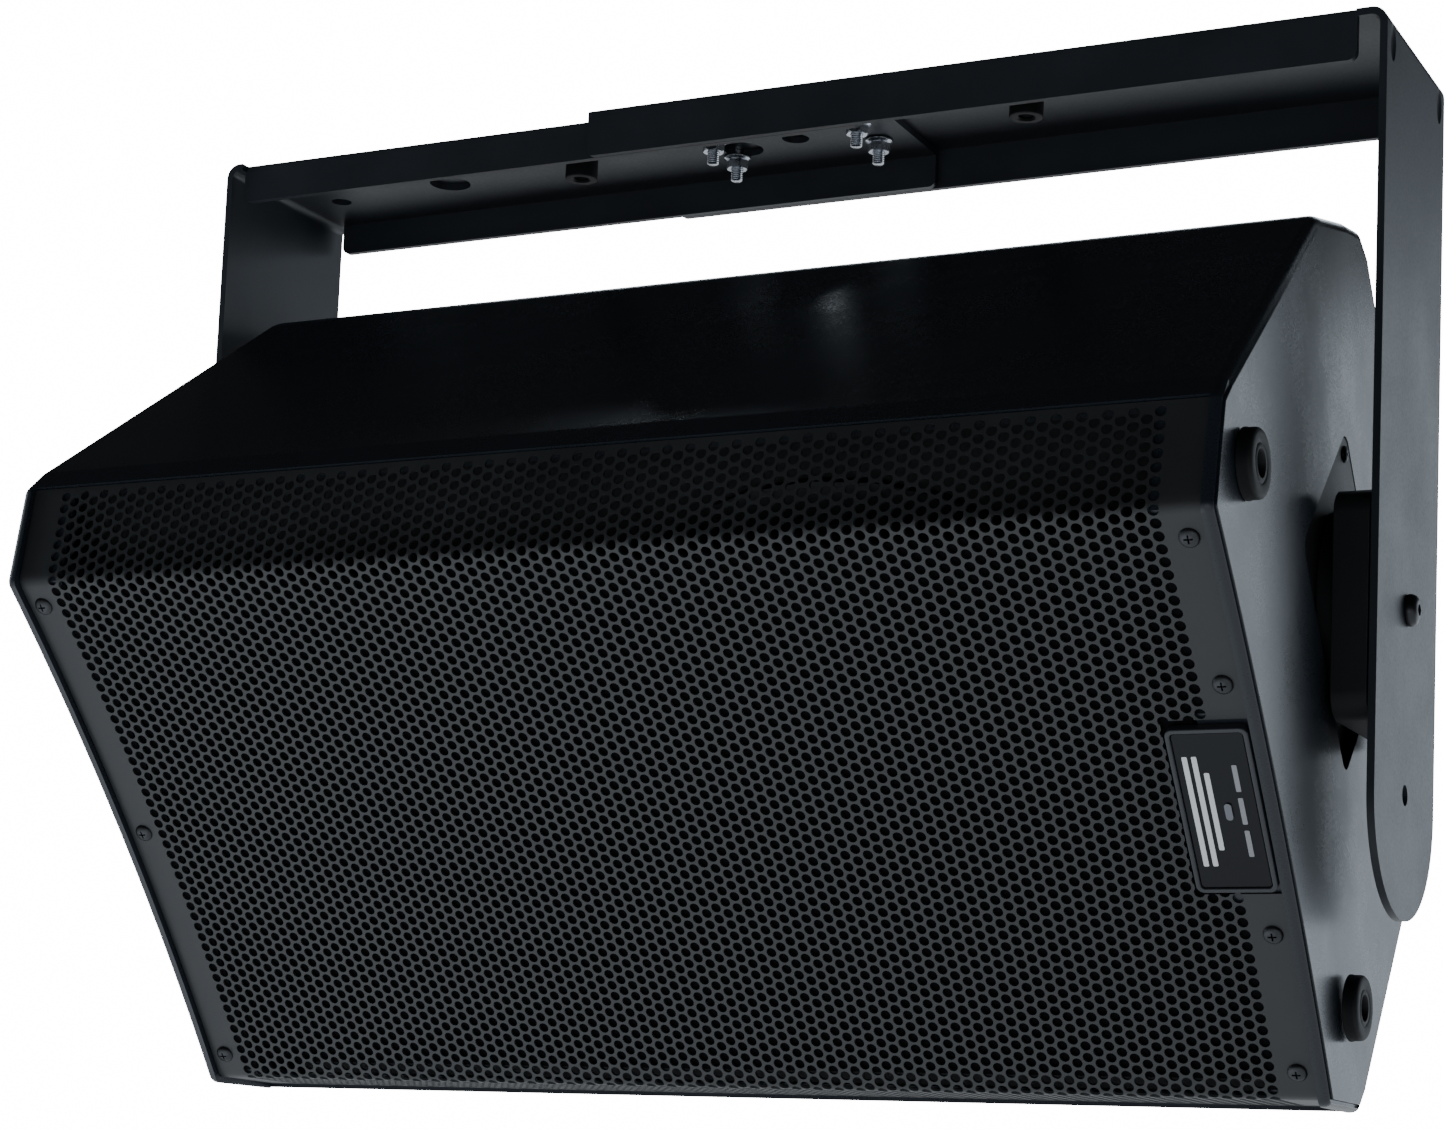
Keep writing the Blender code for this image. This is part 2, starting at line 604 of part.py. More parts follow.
for obj in parts.objects:
    if obj.type == "MESH" and any(m.type == "SCREW" for m in obj.modifiers):
        for poly in obj.data.polygons:
            poly.use_smooth = True
print(len([o for o in parts.objects if o.type == "MESH"]), "sub-parts")
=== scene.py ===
import bpy
import bmesh
import json
import math
from mathutils import Matrix, Vector


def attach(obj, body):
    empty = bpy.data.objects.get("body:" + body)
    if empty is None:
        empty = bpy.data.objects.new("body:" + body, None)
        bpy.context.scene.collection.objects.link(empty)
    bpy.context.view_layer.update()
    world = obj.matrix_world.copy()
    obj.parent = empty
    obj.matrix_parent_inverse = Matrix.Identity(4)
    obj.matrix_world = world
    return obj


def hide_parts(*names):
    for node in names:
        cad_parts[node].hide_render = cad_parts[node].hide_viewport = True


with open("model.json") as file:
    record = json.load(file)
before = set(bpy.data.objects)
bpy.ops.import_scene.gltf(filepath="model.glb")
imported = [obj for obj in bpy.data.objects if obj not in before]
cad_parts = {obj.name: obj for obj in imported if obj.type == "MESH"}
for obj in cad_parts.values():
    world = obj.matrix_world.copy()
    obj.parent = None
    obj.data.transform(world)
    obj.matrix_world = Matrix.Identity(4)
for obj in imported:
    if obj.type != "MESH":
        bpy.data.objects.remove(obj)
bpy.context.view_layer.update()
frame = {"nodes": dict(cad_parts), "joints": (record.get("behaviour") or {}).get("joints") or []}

nodes = frame["nodes"]
print("frame loaded with", len(nodes), "nodes")

# Yoke sizes are millimetres on the frame's own axes. Cabinet sizes are millimetres too,
# and turn with the cabinet: x along it, v the depth behind the grille and u the height.

hinge = next(joint for joint in frame["joints"] if joint["name"] == "cabinet_tilt")
tilt = {"restDegrees": 39.6, "axisDepth": 177.4}
yokePlace = Matrix.Scale(0.001, 4)
cabinetPlace = (Matrix.Translation(hinge["pos_m"])
                @ Matrix.Rotation(math.radians(tilt["restDegrees"]), 4, "X")
                @ Matrix.Scale(0.001, 4)
                @ Matrix.Translation((0, -tilt["axisDepth"], 0)))
asDrawn = Matrix.Identity(4)    # for shapes that get their place later


# Finishes

# Grain and wear sizes are millimetres; mottle and roughSpread are how far the colour and
# the roughness wander.
def paintedFinish(name, colour, rough, grainSize, grainHeight, metal=0.0,
                  grainStrength=0.5, mottle=0.18, roughSpread=0.08, wearSize=60.0,
                  specular=0.5, coat=0.0):
    made = bpy.data.materials.new(name)
    made.use_nodes = True
    made.diffuse_color = (*colour, 1)
    tree = made.node_tree
    shader = tree.nodes["Principled BSDF"]
    shader.inputs["Metallic"].default_value = metal
    shader.inputs["Specular IOR Level"].default_value = specular
    shader.inputs["Coat Weight"].default_value = coat
    shader.inputs["Coat Roughness"].default_value = 0.15
    where = tree.nodes.new("ShaderNodeTexCoord")

    def noise(size, detail, rough):
        made = tree.nodes.new("ShaderNodeTexNoise")
        made.inputs["Scale"].default_value = 1000.0 / size
        made.inputs["Detail"].default_value = detail
        made.inputs["Roughness"].default_value = rough
        tree.links.new(where.outputs["Object"], made.inputs["Vector"])
        return made.outputs["Fac"]

    cloud = noise(wearSize, 4.0, 0.6)      # broad unevenness, as in handled paint
    grain = noise(grainSize, 2.0, 0.55)    # the fine tooth of the surface
    shade = tree.nodes.new("ShaderNodeValToRGB")
    shade.color_ramp.elements[0].position = 0.25
    shade.color_ramp.elements[1].position = 0.75
    for end, change in zip(shade.color_ramp.elements, (1 - mottle, 1 + mottle)):
        end.color = (*(part * change for part in colour), 1)
    tree.links.new(cloud, shade.inputs["Fac"])
    tree.links.new(shade.outputs["Color"], shader.inputs["Base Color"])
    both = tree.nodes.new("ShaderNodeMath")
    both.operation = "ADD"
    tree.links.new(cloud, both.inputs[0])
    tree.links.new(grain, both.inputs[1])
    spread = tree.nodes.new("ShaderNodeMapRange")
    spread.inputs["From Min"].default_value = 0.6
    spread.inputs["From Max"].default_value = 1.4
    spread.inputs["To Min"].default_value = rough - roughSpread
    spread.inputs["To Max"].default_value = rough + roughSpread
    tree.links.new(both.outputs["Value"], spread.inputs["Value"])
    tree.links.new(spread.outputs["Result"], shader.inputs["Roughness"])
    bump = tree.nodes.new("ShaderNodeBump")
    bump.inputs["Strength"].default_value = grainStrength
    bump.inputs["Distance"].default_value = grainHeight / 1000
    tree.links.new(grain, bump.inputs["Height"])
    tree.links.new(bump.outputs["Normal"], shader.inputs["Normal"])
    return made


powderSteel = paintedFinish("powder_coated_steel", (0.022, 0.027, 0.034), 0.42,
                            grainSize=1.3, grainHeight=0.07)
mouldedShell = paintedFinish("moulded_shell", (0.015, 0.020, 0.027), 0.30,
                             grainSize=0.9, grainHeight=0.035, mottle=0.12)
grillePaint = paintedFinish("grille_powder_paint", (0.020, 0.022, 0.024), 0.48,
                            grainSize=0.8, grainHeight=0.05)
foamBlack = paintedFinish("open_foam", (0.004, 0.004, 0.005), 0.95, grainSize=2.2,
                          grainHeight=0.6, grainStrength=1.0, specular=0.1)
rubberBlack = paintedFinish("soft_rubber", (0.006, 0.007, 0.008), 0.6, grainSize=1.6,
                            grainHeight=0.05, specular=0.3)
spacerBlack = paintedFinish("moulded_spacer", (0.009, 0.010, 0.012), 0.6,
                            grainSize=1.2, grainHeight=0.04)
brightZinc = paintedFinish("bright_zinc", (0.62, 0.65, 0.70), 0.26, metal=1.0,
                           grainSize=2.5, grainHeight=0.03, roughSpread=0.12,
                           mottle=0.2, wearSize=6.0)
screwBlack = paintedFinish("black_oxide", (0.050, 0.052, 0.056), 0.34, metal=0.85,
                           grainSize=1.0, grainHeight=0.03)
badgeGrey = paintedFinish("badge_frame_paint", (0.028, 0.032, 0.038), 0.36,
                          grainSize=0.7, grainHeight=0.02)
badgeBlack = paintedFinish("badge_plate_gloss", (0.005, 0.006, 0.008), 0.34,
                           grainSize=0.9, grainHeight=0.01, specular=0.25)
inkWhite = paintedFinish("printed_white", (0.78, 0.79, 0.80), 0.5, grainSize=0.6,
                         grainHeight=0.01, mottle=0.04)
inkGrey = paintedFinish("printed_grey", (0.30, 0.31, 0.33), 0.5, grainSize=0.6,
                        grainHeight=0.01, mottle=0.05)
lensClear = paintedFinish("light_lens", (0.16, 0.17, 0.19), 0.2, grainSize=0.9,
                          grainHeight=0.01, coat=0.4)
panelBlack = paintedFinish("rear_panel_paint", (0.017, 0.018, 0.020), 0.46,
                           metal=0.1, grainSize=0.8, grainHeight=0.05)
finBlack = paintedFinish("black_anodised", (0.024, 0.025, 0.027), 0.34, metal=0.6,
                         grainSize=1.4, grainHeight=0.03)
controlBlack = paintedFinish("control_plastic", (0.020, 0.021, 0.023), 0.38,
                             grainSize=0.8, grainHeight=0.03)
displayGlass = paintedFinish("display_glass", (0.006, 0.008, 0.012), 0.06,
                             grainSize=4.0, grainHeight=0.005, coat=0.8)
coneFibre = paintedFinish("pressed_cone_fibre", (0.020, 0.020, 0.021), 0.9,
                          grainSize=3.0, grainHeight=0.3, mottle=0.3)
baffleBoard = paintedFinish("painted_board", (0.012, 0.012, 0.013), 0.8,
                            grainSize=2.0, grainHeight=0.15)
circuitGreen = paintedFinish("circuit_lacquer", (0.02, 0.11, 0.05), 0.4,
                             grainSize=3.0, grainHeight=0.1)
brassPin = paintedFinish("contact_metal", (0.70, 0.62, 0.42), 0.3, metal=1.0,
                         grainSize=1.5, grainHeight=0.02)
print("finishes made")


# Shapes

def newPiece(name, shape, place):
    shape.transform(place)
    mesh = bpy.data.meshes.new(name)
    shape.to_mesh(mesh)
    shape.free()
    piece = bpy.data.objects.new(name, mesh)
    bpy.context.scene.collection.objects.link(piece)
    return piece


def settled(piece):    # turns its modifiers into plain mesh
    bpy.context.view_layer.update()
    graph = bpy.context.evaluated_depsgraph_get()
    mesh = bpy.data.meshes.new_from_object(piece.evaluated_get(graph))
    old = piece.data
    piece.modifiers.clear()
    piece.data = mesh
    mesh.name = piece.name
    bpy.data.meshes.remove(old)
    return piece


def eased(piece, width, steps, degrees=32):    # width in millimetres
    made = piece.modifiers.new("eased", "BEVEL")
    made.width = width / 1000
    made.segments = steps
    made.limit_method = "ANGLE"
    made.angle_limit = math.radians(degrees)
    made.use_clamp_overlap = True
    made.miter_outer = "MITER_ARC"
    return settled(piece)


# Paints a piece, shades it, parents it to the body it rides and hides the frame nodes it stands
# for.
def fitted(piece, body, finish, slotName, *standsFor, degrees=40, weighted=True):
    piece.data.materials.clear()
    piece.data.materials.append(finish)
    for face in piece.data.polygons:
        face.material_index = 0
    piece.data.shade_smooth()
    piece.data.set_sharp_from_angle(angle=math.radians(degrees))
    if weighted:
        made = piece.modifiers.new("flatter", "WEIGHTED_NORMAL")
        made.keep_sharp = True
        settled(piece)
    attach(piece, body)
    if standsFor:
        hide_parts(*standsFor)
    return piece


def cutBy(piece, shape, place, how="DIFFERENCE"):
    tool = newPiece(piece.name + "_tool", shape, place)
    made = piece.modifiers.new("cut", "BOOLEAN")
    made.operation = how
    made.solver = "EXACT"
    made.object = tool
    settled(piece)
    old = tool.data
    bpy.data.objects.remove(tool)
    bpy.data.meshes.remove(old)
    return piece


def joined(*shapes):
    whole = bmesh.new()
    for shape in shapes:
        holder = bpy.data.meshes.new("holder")
        shape.to_mesh(holder)
        shape.free()
        whole.from_mesh(holder)
        bpy.data.meshes.remove(holder)
    return whole


# where an outline's two directions and its thickness go
axesOf = {"XY": lambda a, b, c: (a, b, c), "XZ": lambda a, b, c: (a, c, b),
          "YZ": lambda a, b, c: (c, a, b)}


def slab(points, low, high, plane="XZ"):    # an outline given a thickness
    shape = bmesh.new()
    turn = axesOf[plane]
    near = [shape.verts.new(turn(a, b, low)) for a, b in points]
    far = [shape.verts.new(turn(a, b, high)) for a, b in points]
    shape.faces.new(near)
    shape.faces.new(list(reversed(far)))
    for i in range(len(points)):
        j = (i + 1) % len(points)
        shape.faces.new((near[i], near[j], far[j], far[i]))
    bmesh.ops.recalc_face_normals(shape, faces=shape.faces)
    return shape


def box(low, high):
    (x0, y0, z0), (x1, y1, z1) = low, high
    return slab([(x0, y0), (x1, y0), (x1, y1), (x0, y1)], z0, z1, "XY")


def turned(profile, steps, loop=False):    # (radius, height) about Z
    shape = bmesh.new()
    rings = []
    for radius, height in profile:
        if radius < 1e-6:
            rings.append([shape.verts.new((0, 0, height))])
        else:
            rings.append([shape.verts.new((radius * math.cos(a), radius * math.sin(a),
                                           height))
                          for a in (2 * math.pi * i / steps for i in range(steps))])
    for here, there in zip(rings, rings[1:] + (rings[:1] if loop else [])):
        for i in range(steps):
            j = i + 1
            corners = (here[i % len(here)], here[j % len(here)],
                       there[j % len(there)], there[i % len(there)])
            corners = list(dict.fromkeys(corners))
            if len(corners) > 2:
                shape.faces.new(corners)
    bmesh.ops.recalc_face_normals(shape, faces=shape.faces)
    return shape


def aimed(origin, axis):
    return (Matrix.Translation(origin)
            @ Vector(axis).to_track_quat("Z", "Y").to_matrix().to_4x4())


def moved(shape, matrix):
    shape.transform(matrix)
    return shape


def rod(radius, low, high, steps=32):
    return turned([(0, low), (radius, low), (radius, high), (0, high)], steps)


def shapeOf(piece):    # takes a piece's mesh back, for more work on it
    shape = bmesh.new()
    shape.from_mesh(piece.data)
    bpy.data.objects.remove(piece)
    return shape


def filleted(points, radii, steps, closed=True):    # an outline with its corners rounded
    made = []
    count = len(points)
    for i, (corner, radius) in enumerate(zip(points, radii)):
        corner = Vector(corner)
        if radius <= 0 or (not closed and i in (0, count - 1)):
            made.append(tuple(corner))
            continue
        before = Vector(points[i - 1]) - corner
        after = Vector(points[(i + 1) % count]) - corner
        half = before.angle(after) / 2
        reach = min(radius / math.tan(half), before.length * 0.49, after.length * 0.49)
        radius = reach * math.tan(half)
        inward = (before.normalized() + after.normalized()).normalized()
        middle = corner + inward * (radius / math.sin(half))
        start = corner + before.normalized() * reach - middle
        stop = corner + after.normalized() * reach - middle
        turn = start.angle_signed(stop)
        for k in range(steps + 1):
            spin = Matrix.Rotation(-turn * k / steps, 2)
            made.append(tuple(middle + spin @ start))
    return made


def roundedBox(width, height, radius, x, y, steps=6):
    w, h = width / 2, height / 2
    return filleted([(x - w, y - h), (x + w, y - h), (x + w, y + h), (x - w, y + h)],
                    [radius] * 4, steps)


def fromNode(name, node):    # a merged copy of a plain frame part
    shape = bmesh.new()
    shape.from_mesh(nodes[node].data)
    bmesh.ops.remove_doubles(shape, verts=shape.verts, dist=2e-6)
    bmesh.ops.dissolve_limit(shape, angle_limit=math.radians(1.0), verts=shape.verts,
                             edges=shape.edges)
    return newPiece(name, shape, asDrawn)


# The same for a frame part that keeps its shape but gets softer edges.
def dressed(name, node, body, finish, slotName, edge, steps=2, degrees=32):
    piece = eased(fromNode(name, node), edge, steps, degrees)
    return fitted(piece, body, finish, slotName, node)


# Node trees that set out what repeats

def treeWithSockets(name, sockets):
    tree = bpy.data.node_groups.new(name, "GeometryNodeTree")
    tree.interface.new_socket("Geometry", in_out="INPUT",
                              socket_type="NodeSocketGeometry")
    tree.interface.new_socket("Geometry", in_out="OUTPUT",
                              socket_type="NodeSocketGeometry")
    for label, kind in sockets:
        tree.interface.new_socket(label, in_out="INPUT", socket_type="NodeSocket" + kind)
    return tree, tree.nodes.new("NodeGroupInput"), tree.nodes.new("NodeGroupOutput")


def runTree(piece, tree, values):
    made = piece.modifiers.new(tree.name, "NODES")
    made.node_group = tree
    for item in tree.interface.items_tree:
        if item.in_out == "INPUT" and item.name in values:
            made[item.identifier] = values[item.name]
    return settled(piece)


def ended(tree, geometry, given, out):
    real = tree.nodes.new("GeometryNodeRealizeInstances")
    paint = tree.nodes.new("GeometryNodeSetMaterial")
    tree.links.new(geometry, real.inputs["Geometry"])
    tree.links.new(real.outputs["Geometry"], paint.inputs["Geometry"])
    tree.links.new(given.outputs["Finish"], paint.inputs["Material"])
    tree.links.new(paint.outputs["Geometry"], out.inputs["Geometry"])


def makeCopiesTree():
    tree, given, out = treeWithSockets("set_out_copies", [("Part", "Object"),
                                                          ("Finish", "Material")])
    part = tree.nodes.new("GeometryNodeObjectInfo")
    aim = tree.nodes.new("GeometryNodeInputNamedAttribute")
    aim.data_type = "FLOAT_VECTOR"
    aim.inputs["Name"].default_value = "aim"
    align = tree.nodes.new("FunctionNodeAlignRotationToVector")
    align.axis = "Z"
    onto = tree.nodes.new("GeometryNodeInstanceOnPoints")
    tree.links.new(given.outputs["Part"], part.inputs["Object"])
    tree.links.new(given.outputs["Geometry"], onto.inputs["Points"])
    tree.links.new(part.outputs["Geometry"], onto.inputs["Instance"])
    tree.links.new(aim.outputs["Attribute"], align.inputs["Vector"])
    tree.links.new(align.outputs["Rotation"], onto.inputs["Rotation"])
    ended(tree, onto.outputs["Instances"], given, out)
    return tree


copiesTree = makeCopiesTree()


def copies(name, shape, spots, finish, place):    # spots are (origin, axis)
    part = newPiece(name + "_one", shape, asDrawn)
    mesh = bpy.data.meshes.new(name)
    mesh.from_pydata([spot for spot, _ in spots], [], [])
    aim = mesh.attributes.new("aim", "FLOAT_VECTOR", "POINT")
    for item, (_, axis) in zip(aim.data, spots):
        item.vector = axis
    piece = bpy.data.objects.new(name, mesh)
    bpy.context.scene.collection.objects.link(piece)
    runTree(piece, copiesTree, {"Part": part, "Finish": finish})
    old = part.data
    bpy.data.objects.remove(part)
    bpy.data.meshes.remove(old)
    piece.data.transform(place)
    return piece


def crossScrew(radius, height, slot, depth, shank, length):    # slot holds half sizes
    shape = turned([(0, height), (radius * 0.5, height * 0.93),
                    (radius * 0.8, height * 0.66), (radius * 0.97, height * 0.25),
                    (radius, 0), (radius * 0.98, -0.25), (shank, -0.3),
                    (shank, -length), (0, -length)], 32)
    piece = newPiece("screw_blank", shape, asDrawn)
    long, thin = slot
    taper = 0.55    # the recess narrows towards its floor
    for a, b in ((long, thin), (thin, long)):
        tool = box((-a, -b, height - depth), (a, b, height + 1))
        for vert in tool.verts:
            if vert.co.z < height:
                vert.co.x *= taper
                vert.co.y *= taper
        cutBy(piece, tool, asDrawn)
    return shapeOf(piece)


# Yoke: two bent steel halves, bolted together in the middle

yoke = {"sheet": 3.5, "nest": 0.3, "armX": 315.0, "half": 53.3, "tip": 408.1,
        "flange": 23.8, "bend": 7.5, "fold": 2.0, "outerEnd": 94.6, "innerEnd": 54.5,
        "stop": 301.0, "armHoles": ((5.2, 266.4), (4.8, 351.2)),    # radius, drop
        "dentY": 43.0, "dentDrop": 14, "dentSize": (1.8, 4.6, 9.0),
        "centreHole": (-3.5, 7.0), "outerBoltHole": 6.7, "innerBoltHole": 3.4,    # radii
        "innerHoles": ((-36, 6, 10.5), (-210, 3, 11.0), (-284, 10, 5.5)),
        "boltX": (-44.0, 36.0), "boltY": (-11.7, 15.7), "edge": 0.55}


# One half: a folded channel as far as stop, then the arm bent down from it.
def yokeHalf(name, side, end, top, half, stop):
    sheet, fold, bend, arm = yoke["sheet"], yoke["fold"], yoke["bend"], yoke["armX"]
    low = -yoke["flange"]
    outer = [(-half, low), (-half, top), (half, top), (half, low)]
    inner = [(half - sheet, low), (half - sheet, top - sheet),
             (sheet - half, top - sheet), (sheet - half, low)]
    profile = filleted(outer + inner, [0, fold, fold, 0, 0, 0, 0, 0], 5)
    ends = sorted((side * stop, -side * end))
    piece = newPiece(name, slab(profile, *ends, "YZ"), yokePlace)
    trim = filleted([(-side * end, top + 2), (side * stop, top + 2),
                     (side * stop, low), (-side * end, low)], [0, 0, 4, 3.5], 5)
    cutBy(piece, slab(trim, -80, 80, "XZ"), yokePlace, "INTERSECT")
    steps = 12
    arc = [(math.sin(a), math.cos(a))
           for a in (math.pi / 2 * i / steps for i in range(steps + 1))]
    path = [(stop - 0.6, top)]
    path += [(arm - bend + bend * s, top - bend + bend * c) for s, c in arc]
    path += [(arm, -yoke["tip"] - 2), (arm - sheet, -yoke["tip"] - 2)]
    path += [(arm - bend + (bend - sheet) * s, top - bend + (bend - sheet) * c)
             for s, c in reversed(arc)]
    path += [(stop - 0.6, top - sheet)]
    width, tip = yoke["half"], yoke["half"] - yoke["tip"]
    strip = newPiece(name + "_arm", slab([(side * x, z) for x, z in path], -width, width,
                                         "XZ"), yokePlace)
    tongue = [(width, 20), (-width, 20)]
    tongue += [(-width * math.cos(a), tip - width * math.sin(a))
               for a in (math.pi * i / 40 for i in range(41))]
    cutBy(strip, slab(tongue, -400, 400, "YZ"), yokePlace, "INTERSECT")
    for radius, drop in yoke["armHoles"]:
        cutBy(strip, moved(rod(radius, -30, 30), aimed((side * arm, 0, -drop),
                                                       (side, 0, 0))), yokePlace)
    for y in (-yoke["dentY"], yoke["dentY"]):    # pressed dents at the top of the arm
        curve = [(math.sin(a), math.cos(a))
                 for a in (math.pi * i / 12 for i in range(1, 12))]
        dent = turned([(0, 1)] + curve + [(0, -1)], 20)
        dent.transform(Matrix.Translation((side * (arm + 0.1), y, top - yoke["dentDrop"]))
                       @ Matrix.Diagonal((*yoke["dentSize"], 1)))
        cutBy(strip, dent, yokePlace)
    cutBy(piece, shapeOf(strip), asDrawn, "UNION")
    return piece


def bored(piece, x, y, radius, low=-30, high=10):
    cutBy(piece, moved(rod(radius, low, high), Matrix.Translation((x, y, 0))), yokePlace)


boltSpots = [(x, y) for x in yoke["boltX"] for y in yoke["boltY"]]
webUnder = -(2 * yoke["sheet"] + yoke["nest"])    # the underside of both sheets
outerHalf = yokeHalf("yoke_outer_half_steel", 1, yoke["outerEnd"], 0.0, yoke["half"],
                     yoke["stop"])
innerHalf = yokeHalf("yoke_inner_half_steel", -1, yoke["innerEnd"],
                     -yoke["sheet"] - yoke["nest"],
                     yoke["half"] - yoke["sheet"] - yoke["nest"], yoke["stop"] + 5)
for steel, radius in ((outerHalf, yoke["outerBoltHole"]),
                      (innerHalf, yoke["innerBoltHole"])):
    bored(steel, yoke["centreHole"][0], 0, yoke["centreHole"][1])
    for x, y in boltSpots:
        bored(steel, x, y, radius)
for x, y, radius in yoke["innerHoles"]:
    bored(innerHalf, x, y, radius, webUnder - 5, webUnder + 3.3)
for steel, node in ((outerHalf, "yoke_outer_half"), (innerHalf, "yoke_inner_half")):
    eased(steel, yoke["edge"], 2, 38)
    fitted(steel, "yoke", powderSteel, "yoke_black", node)
print("yoke made")

# Splice hardware: countersunk bolts, flange nuts and the two threaded bosses

splice = {"head": 6.4, "shank": 3.0, "pitch": 1.0, "boltEnd": -20.4, "flange": 7.1,
          "hex": 5.75, "nutEnd": -6.6, "bossX": 124.0, "bossY": -6.0, "spacerEdge": 1.4}


def threaded(radius, top, bottom):    # a ring for each turn of the thread
    pitch = splice["pitch"]
    profile = [(radius, top)]
    z = top
    while z - pitch > bottom:
        profile += [(radius, z - pitch * 0.15), (radius - 0.4, z - pitch * 0.5),
                    (radius, z - pitch * 0.85)]
        z -= pitch
    return profile + [(radius - 0.8, bottom), (0, bottom)]


boltShape = turned([(0, -1.9), (2.0, -1.9), (2.2, -0.2), (splice["head"], -0.1),
                    (splice["head"] - 0.3, -0.5), (splice["shank"], -3.3)]
                   + threaded(splice["shank"], -8.0, splice["boltEnd"]), 24)
spliceBolts = copies("splice_bolts", boltShape,
                     [((x, y, 0), (0, 0, 1)) for x, y in boltSpots], brightZinc,
                     yokePlace)
fitted(spliceBolts, "yoke", brightZinc, "zinc", *[f"splice_bolt_{i}" for i in range(1, 5)])


def nutShape():    # a hexagon on its own round flange, bored through
    end = splice["nutEnd"]
    points = [(splice["hex"] * math.cos(a), splice["hex"] * math.sin(a))
              for a in (math.pi / 3 * i + 0.2 for i in range(6))]
    piece = newPiece("nut_blank", slab(points, end, -1.2, "XY"), asDrawn)
    rounding = turned([(0, 0), (9, 0), (9, -1.3), (5.9, end + 1.1), (5.1, end - 0.1),
                       (0, end - 0.1)], 36)
    cutBy(piece, rounding, asDrawn, "INTERSECT")
    flange = turned([(0, -0.35), (6.8, -0.35), (splice["flange"], -0.7), (7.0, -1.2),
                     (5.6, -2.0), (0, -2.0)], 36)
    cutBy(piece, flange, asDrawn, "UNION")
    cutBy(piece, rod(splice["shank"] + 0.25, 5, -20, 24), asDrawn)
    return shapeOf(piece)


spliceNuts = copies("splice_nuts", nutShape(),
                    [((x, y, webUnder), (0, 0, 1)) for x, y in boltSpots], brightZinc,
                    yokePlace)
fitted(spliceNuts, "yoke", brightZinc, "zinc", *[f"splice_nut_{i}" for i in range(1, 5)],
       degrees=28)

for side, tag, under in ((-1, "left", webUnder), (1, "right", -yoke["sheet"])):
    bossShape = turned([(4.2, 0), (8.4, 0), (8.4, -9.2), (8.1, -9.8), (7.5, -10.0),
                        (5.0, -10.0), (4.4, -9.4), (4.0, -9.0), (4.4, -8.0), (4.0, -7.0),
                        (4.4, -6.0), (4.0, -5.0), (4.4, -4.0), (4.0, -3.0)], 32, True)
    bossSpot = (side * splice["bossX"], splice["bossY"], under - 0.3)
    boss = newPiece(f"boss_{tag}_tube", moved(bossShape, Matrix.Translation(bossSpot)),
                    yokePlace)
    fitted(boss, "yoke", rubberBlack, "rubber", f"boss_{tag}")
    dressed(f"pivot_spacer_{tag}_block", f"pivot_spacer_{tag}", "yoke", spacerBlack,
            "rubber", splice["spacerEdge"], 3)
print("splice and spacers made")

# Cabinet shell

front = {"half": 144.7, "dish": 7.0, "rim": 3.1, "sheetEnd": 290.8, "sheet": 1.3,
         "fold": 6.0, "strip": (175.3, 35.6)}


def dish(u):
    return front["dish"] * (1 - (u / front["half"]) ** 2)


def dished(shift, half, count=16):
    return [(u, dish(u) + shift)
            for u in (half * (2 * i / count - 1) for i in range(count + 1))]


# "frontEdge" and "wallEdge" hold (length, inset) round the ends, at the front and behind.
shell = {"end": 297.0, "draftFrom": 40.0, "draft": 0.06, "blend": (34, 22),
         "cavityReach": 283.0, "well": ((-268, -20, -174), (268, 37.4, 174)),
         "pocket": [(174.4, 36.9), (182, 30.4), (200, -20)],
         "panelWell": ((-255, 325, -94), (255, 350, 94)),
         "recess": (112.0, 118.6, 8), "recessFrom": 281.4, "bore": 12.4,
         "handleX": 75.0, "handleV": (168.0, 246.0), "handleU": (-200, -140),
         "side": [(177.0, 33.5), (178.6, 48.0), (165.5, 250.0), (139.5, 305.0),
                  (125.0, 331.0), (108.0, 340.0)],
         "sideRadii": [6, 12, 34, 24, 9, 3], "frontRadius": 6.0,
         "cavity": [(150.0, 15.0), (169.5, 37.4), (171.5, 51.0), (158.8, 248.0),
                    (133.3, 301.5), (119.5, 325.0), (103.0, 332.5)],
         "frontEdge": [(291.6, 0), (292.8, 0.05), (293.9, 0.25), (294.9, 0.7),
                       (295.7, 1.35), (296.1, 2.1), (294.9, 2.35), (294.8, 3.0),
                       (294.9, 3.6), (296.8, 3.75), (297.0, 4.0)],
         "wallEdge": [(290.6, 0), (291.7, 0.12), (292.8, 0.42), (293.8, 0.9),
                      (294.7, 1.5), (295.4, 2.15), (296.0, 2.9), (296.4, 3.6),
                      (296.7, 4.3), (296.9, 5.0), (297.0, 5.8)]}


def mirroredSection(half):
    return half + [(-u, v) for u, v in reversed(half)]


def shellSection():
    frontLine = dished(-front["rim"], front["half"] + 1.4)
    points = frontLine + shell["side"]
    points += [(-u, v) for u, v in reversed(shell["side"])]
    radii = [0.0] * len(frontLine) + shell["sideRadii"] + shell["sideRadii"][::-1]
    radii[0] = radii[len(frontLine) - 1] = shell["frontRadius"]
    return filleted(points, radii, 8)


def draftAt(v):
    return shell["draft"] * max(0.0, v - shell["draftFrom"])


